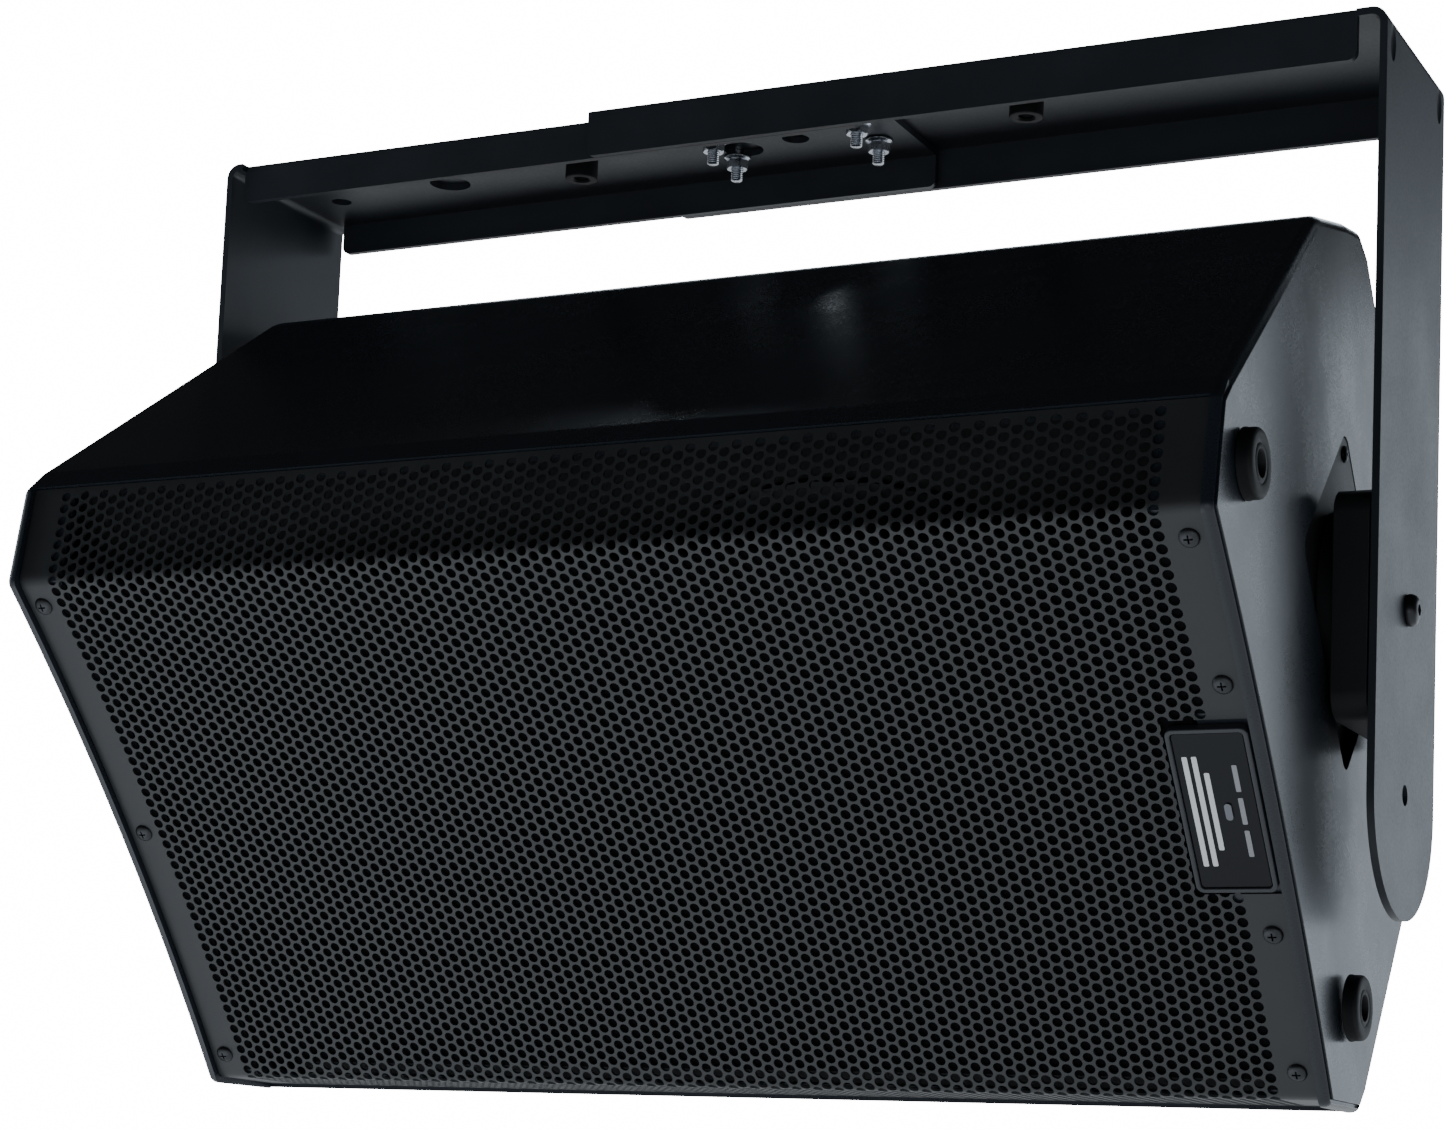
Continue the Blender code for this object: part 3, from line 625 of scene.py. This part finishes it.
def makeShell():
    section = [Vector(point) for point in shellSection()]
    count = len(section)
    inward = []
    for i in range(count):
        along = section[(i + 1) % count] - section[i - 1]
        inward.append(Vector((-along.y, along.x)).normalized())
    centre = Vector((0, 170))
    if inward[0].dot(centre - section[0]) < 0:
        inward = [-n for n in inward]
    shape = bmesh.new()
    rings = []
    blendFrom, blendOver = shell["blend"]
    edgeCount = len(shell["frontEdge"])
    for side in (-1, 1):
        order = range(edgeCount) if side > 0 else reversed(range(edgeCount))
        for k in order:
            ring = []
            for point, into in zip(section, inward):
                blend = min(1.0, max(0.0, (point.y - blendFrom) / blendOver))
                (xa, ia), (xb, ib) = shell["frontEdge"][k], shell["wallEdge"][k]
                x = xa + (xb - xa) * blend
                u, v = point + into * (ia + (ib - ia) * blend)
                ring.append(shape.verts.new((side * (x - draftAt(point.y)), v, u)))
            rings.append(ring)
    for here, there in zip(rings, rings[1:]):
        for i in range(count):
            j = (i + 1) % count
            shape.faces.new((here[i], here[j], there[j], there[i]))
    shape.faces.new(rings[0])
    shape.faces.new(rings[-1])
    bmesh.ops.recalc_face_normals(shape, faces=shape.faces)
    return shape


def drafted(shape):
    for vert in shape.verts:
        vert.co.x -= math.copysign(draftAt(vert.co.y), vert.co.x)
    return shape


def sideSlab(points, reach):    # (height, depth) outline, reach either way in length
    return slab([(v, u) for u, v in points], -reach, reach, "YZ")


enclosure = newPiece("enclosure_shell", makeShell(), cabinetPlace)
cavity = drafted(sideSlab(mirroredSection(shell["cavity"]), shell["cavityReach"]))
cutBy(enclosure, cavity, cabinetPlace)
cutBy(enclosure, box(*shell["well"]), cabinetPlace)
pocket = [(-u, v) for u, v in reversed(shell["pocket"])]
pocket += dished(front["sheet"] + 0.3, 143.6) + shell["pocket"]
cutBy(enclosure, sideSlab(pocket, front["sheetEnd"] + 0.4), cabinetPlace)
cutBy(enclosure, box(*shell["panelWell"]), cabinetPlace)
for side in (-1, 1):
    recess = slab(roundedBox(*shell["recess"], 174, 8), side * shell["recessFrom"],
                  side * (shell["recessFrom"] + 20), "YZ")
    cutBy(enclosure, recess, cabinetPlace)
    bore = moved(rod(shell["bore"], 0, 35), aimed((side * 255, tilt["axisDepth"], 0),
                                                  (side, 0, 0)))
    cutBy(enclosure, bore, cabinetPlace)
handleX, (handleNear, handleFar) = shell["handleX"], shell["handleV"]
handleLow, handleHigh = shell["handleU"]
cutBy(enclosure, box((-handleX - 0.3, handleNear - 0.3, handleLow),
                     (handleX + 0.3, handleFar + 0.3, handleHigh)), cabinetPlace)
eased(enclosure, 0.3, 2, 50)
fitted(enclosure, "cabinet", mouldedShell, "shell_black", "enclosure", degrees=45)
print("cabinet shell made")

# Perforated grille: a flat lattice of holes, bent over the section, then thickened

holes = {"diameter": 5.0, "columnStep": 5.538, "rowStep": 6.06, "columns": 99,
         "rows": 62, "firstX": -272.1, "firstS": -182.68, "bands": 4}


def holeTile():
    wide, tall = holes["columnStep"] / 2, holes["rowStep"] / 2
    shape = bmesh.new()
    rim = [shape.verts.new((holes["diameter"] / 2 * math.cos(a),
                            holes["diameter"] / 2 * math.sin(a), 0))
           for a in (math.pi / 6 * i for i in range(12))]
    edge = [shape.verts.new((wide * a, tall * b, 0)) for a, b in
            ((1, 0), (1, 1), (0, 1), (-1, 1), (-1, 0), (-1, -1), (0, -1), (1, -1))]
    for quarter in range(4):
        h, e = 3 * quarter, 2 * quarter
        a, b, c, d = (rim[(h + i) % 12] for i in range(4))
        start, corner, stop = (edge[(e + i) % 8] for i in range(3))
        for corners in ((start, corner, b, a), (corner, c, b), (corner, stop, d, c)):
            shape.faces.new(corners)
    return shape


def makeLatticeTree():
    tree, given, out = treeWithSockets("staggered_lattice", [
        ("Columns", "Int"), ("Rows", "Int"), ("Column Step", "Float"),
        ("Row Step", "Float"), ("Finish", "Material")])

    def fed(node, values):
        for socket, value in zip(node.inputs, values):
            if isinstance(value, (int, float)):
                socket.default_value = value
            else:
                tree.links.new(value, socket)
        return node.outputs[0]

    def calc(kind, a, b):
        made = tree.nodes.new("ShaderNodeMath")
        made.operation = kind
        return fed(made, (a, b))

    def vector(x, y):
        return fed(tree.nodes.new("ShaderNodeCombineXYZ"), (x, y))

    def line(count, step, start, part):
        points = tree.nodes.new("GeometryNodeMeshLine")
        tree.links.new(count, points.inputs["Count"])
        tree.links.new(step, points.inputs["Offset"])
        tree.links.new(start, points.inputs["Start Location"])
        onto = tree.nodes.new("GeometryNodeInstanceOnPoints")
        tree.links.new(points.outputs["Mesh"], onto.inputs["Points"])
        tree.links.new(part, onto.inputs["Instance"])
        return onto.outputs["Instances"]

    across, up = given.outputs["Column Step"], given.outputs["Row Step"]
    column = line(given.outputs["Rows"], vector(0, up), vector(0, 0),
                  given.outputs["Geometry"])
    pair = vector(calc("MULTIPLY", across, 2.0), 0)
    evens = calc("CEIL", calc("DIVIDE", given.outputs["Columns"], 2.0), 0.0)
    odds = calc("FLOOR", calc("DIVIDE", given.outputs["Columns"], 2.0), 0.0)
    both = tree.nodes.new("GeometryNodeJoinGeometry")
    tree.links.new(line(evens, pair, vector(0, 0), column), both.inputs[0])
    tree.links.new(line(odds, pair, vector(across, calc("MULTIPLY", up, -0.5)), column),
                   both.inputs[0])
    ended(tree, both.outputs["Geometry"], given, out)
    return tree


def sheetLine():    # the section that the sheet is bent to, by length from its middle
    crease = dished(0.0, front["half"], 24)
    path = [(-front["strip"][0], front["strip"][1])] + crease + [front["strip"]]
    radii = [0, front["fold"]] + [0] * (len(crease) - 2) + [front["fold"], 0]
    path = [Vector(p) for p in filleted(path, radii, 8, False)]
    lengths = [0.0]
    for a, b in zip(path, path[1:]):
        lengths.append(lengths[-1] + (b - a).length)
    middle = lengths[-1] / 2
    return path, [length - middle for length in lengths]


sheetPath, sheetLengths = sheetLine()


def bent(s):
    for a, b, start, stop in zip(sheetPath, sheetPath[1:], sheetLengths, sheetLengths[1:]):
        if s <= stop or b is sheetPath[-1]:
            return a + (b - a) * ((s - start) / (stop - start))


def flatSheet():
    piece = newPiece("grille_flat", holeTile(), Matrix.Identity(4))
    runTree(piece, makeLatticeTree(), {
        "Columns": holes["columns"], "Rows": holes["rows"],
        "Column Step": holes["columnStep"], "Row Step": holes["rowStep"],
        "Finish": grillePaint})
    shape = moved(shapeOf(piece), Matrix.Translation((holes["firstX"], holes["firstS"], 0)))
    limit = sheetLengths[-1] - 0.05
    stepX, stepS = holes["columnStep"], holes["rowStep"]

    def patch(x0, x1, s0, s1):
        corners = [shape.verts.new((x, s, 0)) for x, s in
                   ((x0, s0), (x1, s0), (x1, s1), (x0, s1))]
        shape.faces.new(corners)

    low = holes["firstS"] - stepS / 2
    high = low + holes["rows"] * stepS
    for k in range(holes["columns"]):
        x = holes["firstX"] + (k - 0.5) * stepX
        shift = 0 if k % 2 == 0 else -stepS / 2
        for x0, x1 in ((x, x + stepX / 2), (x + stepX / 2, x + stepX)):
            patch(x0, x1, -limit, low + shift)
            patch(x0, x1, high + shift, limit)
    left = holes["firstX"] - stepX / 2
    right = left + holes["columns"] * stepX
    marks = [-limit] + [low + stepS / 2 * i for i in range(2 * holes["rows"] + 1)] + [limit]
    for s0, s1 in zip(marks, marks[1:]):
        patch(-front["sheetEnd"], left, s0, s1)
        patch(right, front["sheetEnd"], s0, s1)
    bmesh.ops.remove_doubles(shape, verts=shape.verts, dist=0.02)
    return shape


badge = {"centre": (272.2, 1.8), "size": (35.9, 80.6), "notchX": 252.4,
         "notchU": (-41.2, 44.8), "front": 3.0, "plate": 3.8, "back": 7.7,
         "wall": 2.2, "lens": (3.2, 8.2), "lensShift": 3.2, "ink": 0.2}


def notched(shape):    # the cut-out in the sheet that the badge sits in
    x, (low, high) = badge["notchX"], badge["notchU"]
    for spot, normal, near in (((x, 0, 0), (1, 0, 0),
                                lambda c: abs(c.x - x) < 6 and low - 7 < c.y < high + 7),
                               ((0, low, 0), (0, 1, 0),
                                lambda c: abs(c.y - low) < 7 and c.x > x - 7),
                               ((0, high, 0), (0, 1, 0),
                                lambda c: abs(c.y - high) < 7 and c.x > x - 7)):
        faces = [f for f in shape.faces if near(f.calc_center_median())]
        parts = set(faces)
        for face in faces:
            parts.update(face.verts)
            parts.update(face.edges)
        bmesh.ops.bisect_plane(shape, geom=list(parts), plane_co=spot, plane_no=normal)
    gone = [f for f in shape.faces if f.calc_center_median().x > x
            and low < f.calc_center_median().y < high]
    bmesh.ops.delete(shape, geom=gone, context="FACES")
    return shape


def grilleBands():
    flat = notched(flatSheet())
    for face in flat.faces:
        if face.normal.z < 0:
            face.normal_flip()
    whole = bpy.data.meshes.new("grille_whole")
    flat.to_mesh(whole)
    flat.free()
    start = holes["firstX"] - holes["columnStep"] / 2
    perBand = math.ceil(holes["columns"] / holes["bands"])
    for band in range(holes["bands"]):
        x0 = start + band * perBand * holes["columnStep"] if band else -400
        x1 = start + (band + 1) * perBand * holes["columnStep"]
        if band == holes["bands"] - 1:
            x1 = 400
        shape = bmesh.new()
        shape.from_mesh(whole)
        gone = [f for f in shape.faces if not x0 <= f.calc_center_median().x < x1]
        bmesh.ops.delete(shape, geom=gone, context="FACES")
        for vert in shape.verts:
            u, v = bent(vert.co.y)
            vert.co = (vert.co.x, v, u)
        piece = newPiece(f"grille_sheet_band_{band + 1}", shape, cabinetPlace)
        thick = piece.modifiers.new("thick", "SOLIDIFY")
        thick.thickness = front["sheet"] / 1000
        thick.offset = -1
        settled(piece)
        fitted(piece, "cabinet", grillePaint, "grille_paint", "grille_sheet", degrees=35,
               weighted=False)
        print("grille band", band + 1, "has", len(piece.data.loop_triangles), "triangles")
    bpy.data.meshes.remove(whole)


grilleBands()

# Dark cloth behind the sheet's plain ends, left out behind the badge
cloth = {"depth": 1.36, "thick": 0.18, "half": 141, "x": (266.5, 289.5)}


def clothStrip(line, low, high):
    back = [(u, v + cloth["thick"]) for u, v in line[::-1]]
    return slab([(v, u) for u, v in line + back], low, high, "YZ")


clothLine = dished(cloth["depth"], cloth["half"], 24)
clothNear, clothFar = cloth["x"]
leftCloth = newPiece("grille_cloth_left", clothStrip(clothLine, -clothFar, -clothNear),
                     cabinetPlace)
fitted(leftCloth, "cabinet", foamBlack, "foam", weighted=False)
notchLow, notchHigh = badge["notchU"]
rightCloth = newPiece("grille_cloth_right", joined(
    clothStrip([spot for spot in clothLine if spot[0] < notchLow], clothNear, clothFar),
    clothStrip([spot for spot in clothLine if spot[0] > notchHigh], clothNear, clothFar)),
    cabinetPlace)
fitted(rightCloth, "cabinet", foamBlack, "foam", weighted=False)

# Grille screws, with a cross recess

grilleScrews = {"x": 283.0, "left": (131.0, 0.0, -131.0),
                "right": (131.0, 61.5, -61.5, -131.0),
                "shape": {"radius": 4.5, "height": 1.9, "slot": (2.5, 0.5), "depth": 1.5,
                          "shank": 1.8, "length": 5.0}}
spots = [((side * grilleScrews["x"], dish(u) - 0.3, u), (0, -1, 0))
         for side, tag in ((-1, "left"), (1, "right")) for u in grilleScrews[tag]]
screwSet = copies("grille_screws", crossScrew(**grilleScrews["shape"]), spots,
                  screwBlack, cabinetPlace)
fitted(screwSet, "cabinet", screwBlack, "screw_black",
       *[f"grille_screw_{i}" for i in range(1, 8)], degrees=30)

# Badge: a frame, a glossy plate with plain raised bars, and a small light

badgeX, badgeU = badge["centre"]
badgeWide, badgeTall = badge["size"]
opening = 2 * badge["wall"]
ring = newPiece("badge_frame_ring",
                slab(roundedBox(badgeWide, badgeTall, 3.6, badgeX, badgeU, 8),
                     badge["front"], badge["back"]), cabinetPlace)
cutBy(ring, slab(roundedBox(badgeWide - opening, badgeTall - opening, 1.8, badgeX, badgeU),
                 0, 12), cabinetPlace)
eased(ring, 0.7, 3)
fitted(ring, "cabinet", badgeGrey, "badge_grey", "badge_frame")
plate = newPiece("badge_plate_face",
                 slab(roundedBox(badgeWide - 5.0, badgeTall - 5.0, 1.6, badgeX, badgeU),
                      badge["plate"], badge["back"]), cabinetPlace)
eased(plate, 0.4, 2)
fitted(plate, "cabinet", badgeBlack, "control_black", "badge_plate")
badgeLens = newPiece("badge_lens", slab(roundedBox(*badge["lens"], 1.55,
                                                   badgeX + badge["lensShift"], badgeU, 8),
                                        badge["front"], 3.5), cabinetPlace)
eased(badgeLens, 0.2, 2)
fitted(badgeLens, "cabinet", lensClear, "light_lens", "badge_light")


def bars(name, x, width, lengths, gap, finish):
    u = badgeU - (sum(lengths) + gap * (len(lengths) - 1)) / 2
    shapes = []
    for length in lengths:
        outline = roundedBox(width, length, min(width, length) * 0.24, x, u + length / 2)
        shapes.append(slab(outline, badge["plate"] - badge["ink"], badge["plate"] + 0.1))
        u += length + gap
    piece = newPiece(name, joined(*shapes), cabinetPlace)
    return fitted(piece, "cabinet", finish, "badge_grey", weighted=False)


for row, long in enumerate((54, 54, 38)):
    bars(f"badge_bar_{row + 1}", badgeX - 11.4 + 4.1 * row, 2.3, (long,), 0, inkWhite)
bars("badge_dashes", badgeX + 9.2, 2.2, (13, 13, 13), 3.0, inkGrey)
print("grille and badge made")

# Feet and their screws

foot = {"radius": 15.0, "tip": 304.0, "spots": ((141, 44), (-128, 46), (0, 262)),
        "screw": {"radius": 3.5, "height": 1.6, "slot": (2.0, 0.45), "depth": 1.2,
                  "shank": 1.2, "length": 0.5}}
for number, (u, v) in enumerate(foot["spots"], 1):
    base = shell["end"] - draftAt(v - foot["radius"]) + 0.3
    tall, r = foot["tip"] - base, foot["radius"]
    shape = turned([(0, tall - 4.6), (3.6, tall - 4.6), (5.0, tall - 4.4),
                    (5.4, tall - 1.2), (6.1, tall - 0.3), (7.4, tall - 0.15),
                    (8.3, tall - 0.7), (9.2, tall - 0.15), (r - 2.9, tall),
                    (r - 1.3, tall - 0.35), (r - 0.5, tall - 1.2), (r - 0.3, tall - 2.2),
                    (r - 0.3, 1.6), (r, 0.9), (r, 0), (0, 0)], 48)
    pad = newPiece(f"foot_{number}_pad", moved(shape, aimed((base, v, u), (1, 0, 0))),
                   cabinetPlace)
    fitted(pad, "cabinet", rubberBlack, "rubber", f"foot_{number}")
footScrews = copies("foot_screws", crossScrew(**foot["screw"]),
                    [((foot["tip"] - 4.3, v, u), (1, 0, 0)) for u, v in foot["spots"]],
                    screwBlack, cabinetPlace)
fitted(footScrews, "cabinet", screwBlack, "screw_black", degrees=30)

# Adaptor plates, their screws, and the tilt bolts

pivot = {"plateFace": 285.3, "screwV": (126, 222), "screwU": (-43, 59),
         "screw": {"radius": 4.0, "height": 1.3, "slot": (2.2, 0.45), "depth": 1.1,
                   "shank": 1.7, "length": 3.4},
         "capX": 315.3, "shank": 4.9, "reach": -46, "key": 2.9}
for tag in ("left", "right"):
    dressed(f"adaptor_plate_{tag}_steel", f"adaptor_plate_{tag}", "cabinet", panelBlack,
            "panel_black", 0.5)
plateScrews = copies("plate_screws", crossScrew(**pivot["screw"]),
                     [((pivot["plateFace"], v, u), (1, 0, 0))
                      for v in pivot["screwV"] for u in pivot["screwU"]],
                     screwBlack, cabinetPlace)
fitted(plateScrews, "cabinet", screwBlack, "screw_black",
       *[f"plate_screw_{i}" for i in range(1, 5)], degrees=30)


def capBolt():    # a domed head with a six-sided key hole
    shank, reach, key = pivot["shank"], pivot["reach"], pivot["key"]
    shape = turned([(0, 5.0), (3.2, 5.0), (5.2, 4.6), (6.6, 3.6), (7.4, 2.0), (7.5, 0.6),
                    (7.3, 0), (shank, 0), (shank, reach), (0, reach)], 40)
    piece = newPiece("bolt_blank", shape, asDrawn)
    points = [(key * math.cos(a), key * math.sin(a))
              for a in (math.pi / 3 * i for i in range(6))]
    cutBy(piece, slab(points, 1.6, 9, "XY"), asDrawn)
    return shapeOf(piece)


for side, tag in ((-1, "left"), (1, "right")):
    bolt = copies(f"pivot_bolt_{tag}_cap", capBolt(),
                  [((side * pivot["capX"], tilt["axisDepth"], 0), (side, 0, 0))],
                  screwBlack, cabinetPlace)
    fitted(bolt, "cabinet", screwBlack, "screw_black", f"pivot_bolt_{tag}", degrees=30)
print("feet and pivots made")

# Rear panel and controls

dressed("amp_panel_plate", "amp_panel", "cabinet", panelBlack, "panel_black", 0.5)
dressed("heat_sink_fins", "heat_sink", "cabinet", finBlack, "panel_black", 0.5)
dressed("side_handle_tray", "side_handle", "cabinet", controlBlack, "control_black", 1.6, 3)
for node in ("input_socket_1", "input_socket_2", "power_inlet"):
    dressed(node + "_body", node, "cabinet", controlBlack, "control_black", 0.5, 2, 45)
dressed("display_window_pane", "display_window", "cabinet", displayGlass, "display_glass",
        0.5, 3)

rear = {"face": 344.8, "screwX": (-250, -125, 0, 125, 250), "screwU": (-92, 92),
        "endScrewX": (-254, 254), "rows": (50, 8), "socketX": 60, "contactDepth": 332.0,
        "contactRing": 5.2, "gainX": 16, "encoderX": 140, "encoderU": -6,
        "buttonX": (112, 168), "buttonDepth": 336,
        "screw": {"radius": 3.6, "height": 1.6, "slot": (2.0, 0.42), "depth": 1.2,
                  "shank": 1.6, "length": 2.0}}
screwSpots = [(x, u) for x in rear["screwX"] for u in rear["screwU"]]
screwSpots += [(x, 0) for x in rear["endScrewX"]]
panelScrews = copies("panel_screws", crossScrew(**rear["screw"]),
                     [((x, rear["face"] + 0.2, u), (0, 1, 0)) for x, u in screwSpots],
                     screwBlack, cabinetPlace)
fitted(panelScrews, "cabinet", screwBlack, "screw_black", degrees=30)
contactAngles = (math.pi / 2, math.pi * 7 / 6, math.pi * 11 / 6)
contactSpots = [((rear["socketX"] + rear["contactRing"] * math.cos(a), rear["contactDepth"],
                  u + rear["contactRing"] * math.sin(a)), (0, 1, 0))
                for u in rear["rows"] for a in contactAngles]
sleeves = copies("socket_contacts", turned([(0, 0.4), (0.9, 0.4), (1.0, 1.6), (1.7, 1.6),
                                            (1.8, 1.4), (1.8, 0), (0, 0)], 20),
                 contactSpots, brassPin, cabinetPlace)
fitted(sleeves, "cabinet", brassPin, "zinc")

# Printed marks: ticks round each gain knob from stop to stop, and a few plain rules
dial = {"radius": 12.7, "tick": (0.5, 2.2), "count": 11, "sweep": 300,
        "low": 0.02, "high": 0.14, "ruleWidth": 0.5,    # a rule's x, u and how long it is
        "rules": ((60, 29, 70), (140, 70.5, 66), (216, 46, 46), (216, -42, 34))}
marks = []
tickWide, tickTall = dial["tick"]
for u in rear["rows"]:
    for i in range(dial["count"]):
        angle = math.radians(dial["sweep"] * (i / (dial["count"] - 1) - 0.5))
        tick = box((-tickWide / 2, 0, -tickTall / 2),
                   (tickWide / 2, dial["high"] - dial["low"], tickTall / 2))
        centre = (rear["gainX"], rear["face"] + dial["low"], u)
        marks.append(moved(tick, Matrix.Translation(centre) @ Matrix.Rotation(angle, 4, "Y")
                           @ Matrix.Translation((0, 0, dial["radius"]))))
for x, u, long in dial["rules"]:
    wide = dial["ruleWidth"]
    marks.append(box((x - long / 2, rear["face"] + dial["low"], u - wide / 2),
                     (x + long / 2, rear["face"] + dial["high"], u + wide / 2)))
dialMarks = newPiece("dial_marks", joined(*marks), cabinetPlace)
fitted(dialMarks, "cabinet", inkWhite, "badge_grey", weighted=False)


def ribbedKnob(name, body, node, x, u, radius, tall, ribs):
    points = []
    for i in range(ribs * 4):
        out = radius if i % 4 in (0, 1) else radius - 0.55
        angle = 2 * math.pi * i / (ribs * 4)
        points.append((out * math.cos(angle), out * math.sin(angle)))
    shape = joined(slab(points, 1.2, tall - 1.0, "XY"),
                   turned([(0, 0.05), (radius - 0.1, 0.05), (radius, 1.0),
                           (radius - 0.6, 1.4), (radius - 0.6, tall - 1.2),
                           (radius - 1.0, tall - 0.35), (radius - 2.0, tall - 0.05),
                           (radius * 0.5, tall - 0.35), (0, tall - 0.45)], 48))
    knob = newPiece(name, moved(shape, aimed((x, rear["face"] + 0.3, u), (0, 1, 0))),
                    cabinetPlace)
    fitted(knob, body, controlBlack, "control_black", node, degrees=30, weighted=False)
    top = rear["face"] + tall
    pointer = box((x - 0.5, top - 0.3, u + radius * 0.35),
                  (x + 0.5, top + 0.28, u + radius - 1.2))
    line = newPiece(name + "_pointer", pointer, cabinetPlace)
    fitted(line, body, inkWhite, "badge_grey", weighted=False)


for number, u in enumerate(rear["rows"], 1):
    ribbedKnob(f"gain_knob_{number}_cap", f"gain_{number}", f"gain_knob_{number}",
               rear["gainX"], u, radius=8.5, tall=13, ribs=18)
ribbedKnob("encoder_knob_cap", "encoder", "encoder_knob", rear["encoderX"],
           rear["encoderU"], radius=10.9, tall=15, ribs=24)
for number, x in enumerate(rear["buttonX"], 1):
    domed = turned([(0, 12.2), (2.6, 12.3), (3.5, 12.1), (3.95, 11.4), (4.0, 10.0),
                    (4.0, 0), (0, 0)], 32)
    cap = newPiece(f"push_button_{number}_cap", moved(domed, aimed(
        (x, rear["buttonDepth"], rear["encoderU"]), (0, 1, 0))), cabinetPlace)
    fitted(cap, f"button_{number}", controlBlack, "control_black",
           f"push_button_{number}")
dressed("power_rocker_cap", "power_rocker", "rocker", controlBlack, "control_black", 0.5)
print("rear panel made")

# Parts whose frame shape stays, given their finish

kept = {"grille_foam": foamBlack, "baffle": baffleBoard, "woofer_frame": finBlack,
        "woofer_surround": rubberBlack, "woofer_cone": coneFibre, "horn": mouldedShell,
        "compression_driver": finBlack, "circuit_board": circuitGreen}
for node, finish in kept.items():
    for slot in nodes[node].material_slots:
        slot.material = finish

# Floor, lights and camera

studio = {"floorDrop": 1.25, "floorSize": 14.0, "sky": 16.0, "fill": 0.02,
          "floorGlow": 0.55, "lampColour": (0.80, 0.90, 1.0)}
floorShape = bmesh.new()
bmesh.ops.create_grid(floorShape, x_segments=2, y_segments=2, size=studio["floorSize"])
floor = newPiece("studio_floor", floorShape,
                 Matrix.Translation((0, 0, -studio["floorDrop"])))
floorPaint = paintedFinish("pale_floor", (0.80, 0.80, 0.81), 0.9, grainSize=30.0,
                           grainHeight=0.1, mottle=0.02, wearSize=900.0)
floorShader = floorPaint.node_tree.nodes["Principled BSDF"]    # lights it from within
floorShader.inputs["Emission Color"].default_value = (0.96, 0.98, 1.0, 1)
floorShader.inputs["Emission Strength"].default_value = studio["floorGlow"]
floor.data.materials.append(floorPaint)

world = bpy.data.worlds.new("studio_air")
bpy.context.scene.world = world
world.use_nodes = True
air = world.node_tree
air.nodes.clear()
seen = air.nodes.new("ShaderNodeBackground")
seen.inputs["Color"].default_value = (1, 1, 1, 1)
seen.inputs["Strength"].default_value = studio["sky"]
felt = air.nodes.new("ShaderNodeBackground")
felt.inputs["Color"].default_value = (0.93, 0.96, 1.0, 1)
felt.inputs["Strength"].default_value = studio["fill"]
which = air.nodes.new("ShaderNodeLightPath")
mixed = air.nodes.new("ShaderNodeMixShader")    # white to the eye, dim to the surfaces
airOut = air.nodes.new("ShaderNodeOutputWorld")
air.links.new(which.outputs["Is Camera Ray"], mixed.inputs["Fac"])
air.links.new(felt.outputs["Background"], mixed.inputs[1])
air.links.new(seen.outputs["Background"], mixed.inputs[2])
air.links.new(mixed.outputs["Shader"], airOut.inputs["Surface"])

# each lamp: where it stands, what it faces, its size in metres and its watts
lamps = {"panelBehindRight": ((1.9, 2.8, -0.5), (0.3, 0, -0.3), 3.0, 40.0),
         "panelBelow": ((-0.38, -0.45, -1.22), (-0.2, -0.1, -0.3), 1.5, 5.5),
         "frontLow": ((1.0, -2.0, -1.1), (0, 0, -0.3), 1.6, 3.0),
         "backSoft": ((-0.9, 2.6, 1.6), (0, 0.1, -0.3), 2.0, 60.0),
         "leftSoft": ((-2.8, -0.3, 0.3), (0, 0, -0.3), 1.6, 14.0)}
for name, (spot, target, size, power) in lamps.items():
    light = bpy.data.lights.new(name, "AREA")
    light.shape = "SQUARE"
    light.size = size
    light.energy = power
    light.color = studio["lampColour"]
    lamp = bpy.data.objects.new(name, light)
    lamp.location = spot
    lamp.visible_camera = False
    facing = Vector(target) - Vector(spot)
    lamp.rotation_euler = facing.to_track_quat("-Z", "Y").to_euler()
    bpy.context.scene.collection.objects.link(lamp)

view = {"spot": (0.66665, -1.38045, -0.54973), "heading": 25.98, "pitch": 6.63,
        "roll": 2.33, "lens": 77.83, "shift": (-0.0274, 0.197)}
heading, pitch, roll = (math.radians(view[k]) for k in ("heading", "pitch", "roll"))
ahead = Vector((-math.sin(heading) * math.cos(pitch), math.cos(heading) * math.cos(pitch),
                math.sin(pitch)))
level = Vector((math.cos(heading), math.sin(heading), 0))
above = level.cross(ahead)
sideways = math.cos(roll) * level + math.sin(roll) * above
upwards = -math.sin(roll) * level + math.cos(roll) * above
optics = bpy.data.cameras.new("front_view")
optics.lens = view["lens"]
optics.sensor_width = 36
optics.shift_x, optics.shift_y = view["shift"]
optics.clip_start = 0.05
camera = bpy.data.objects.new("front_view", optics)
camera.matrix_world = Matrix.Translation(view["spot"]) @ Matrix(
    (sideways, upwards, -ahead)).transposed().to_4x4()
bpy.context.scene.collection.objects.link(camera)
bpy.context.scene.camera = camera
print("studio made")
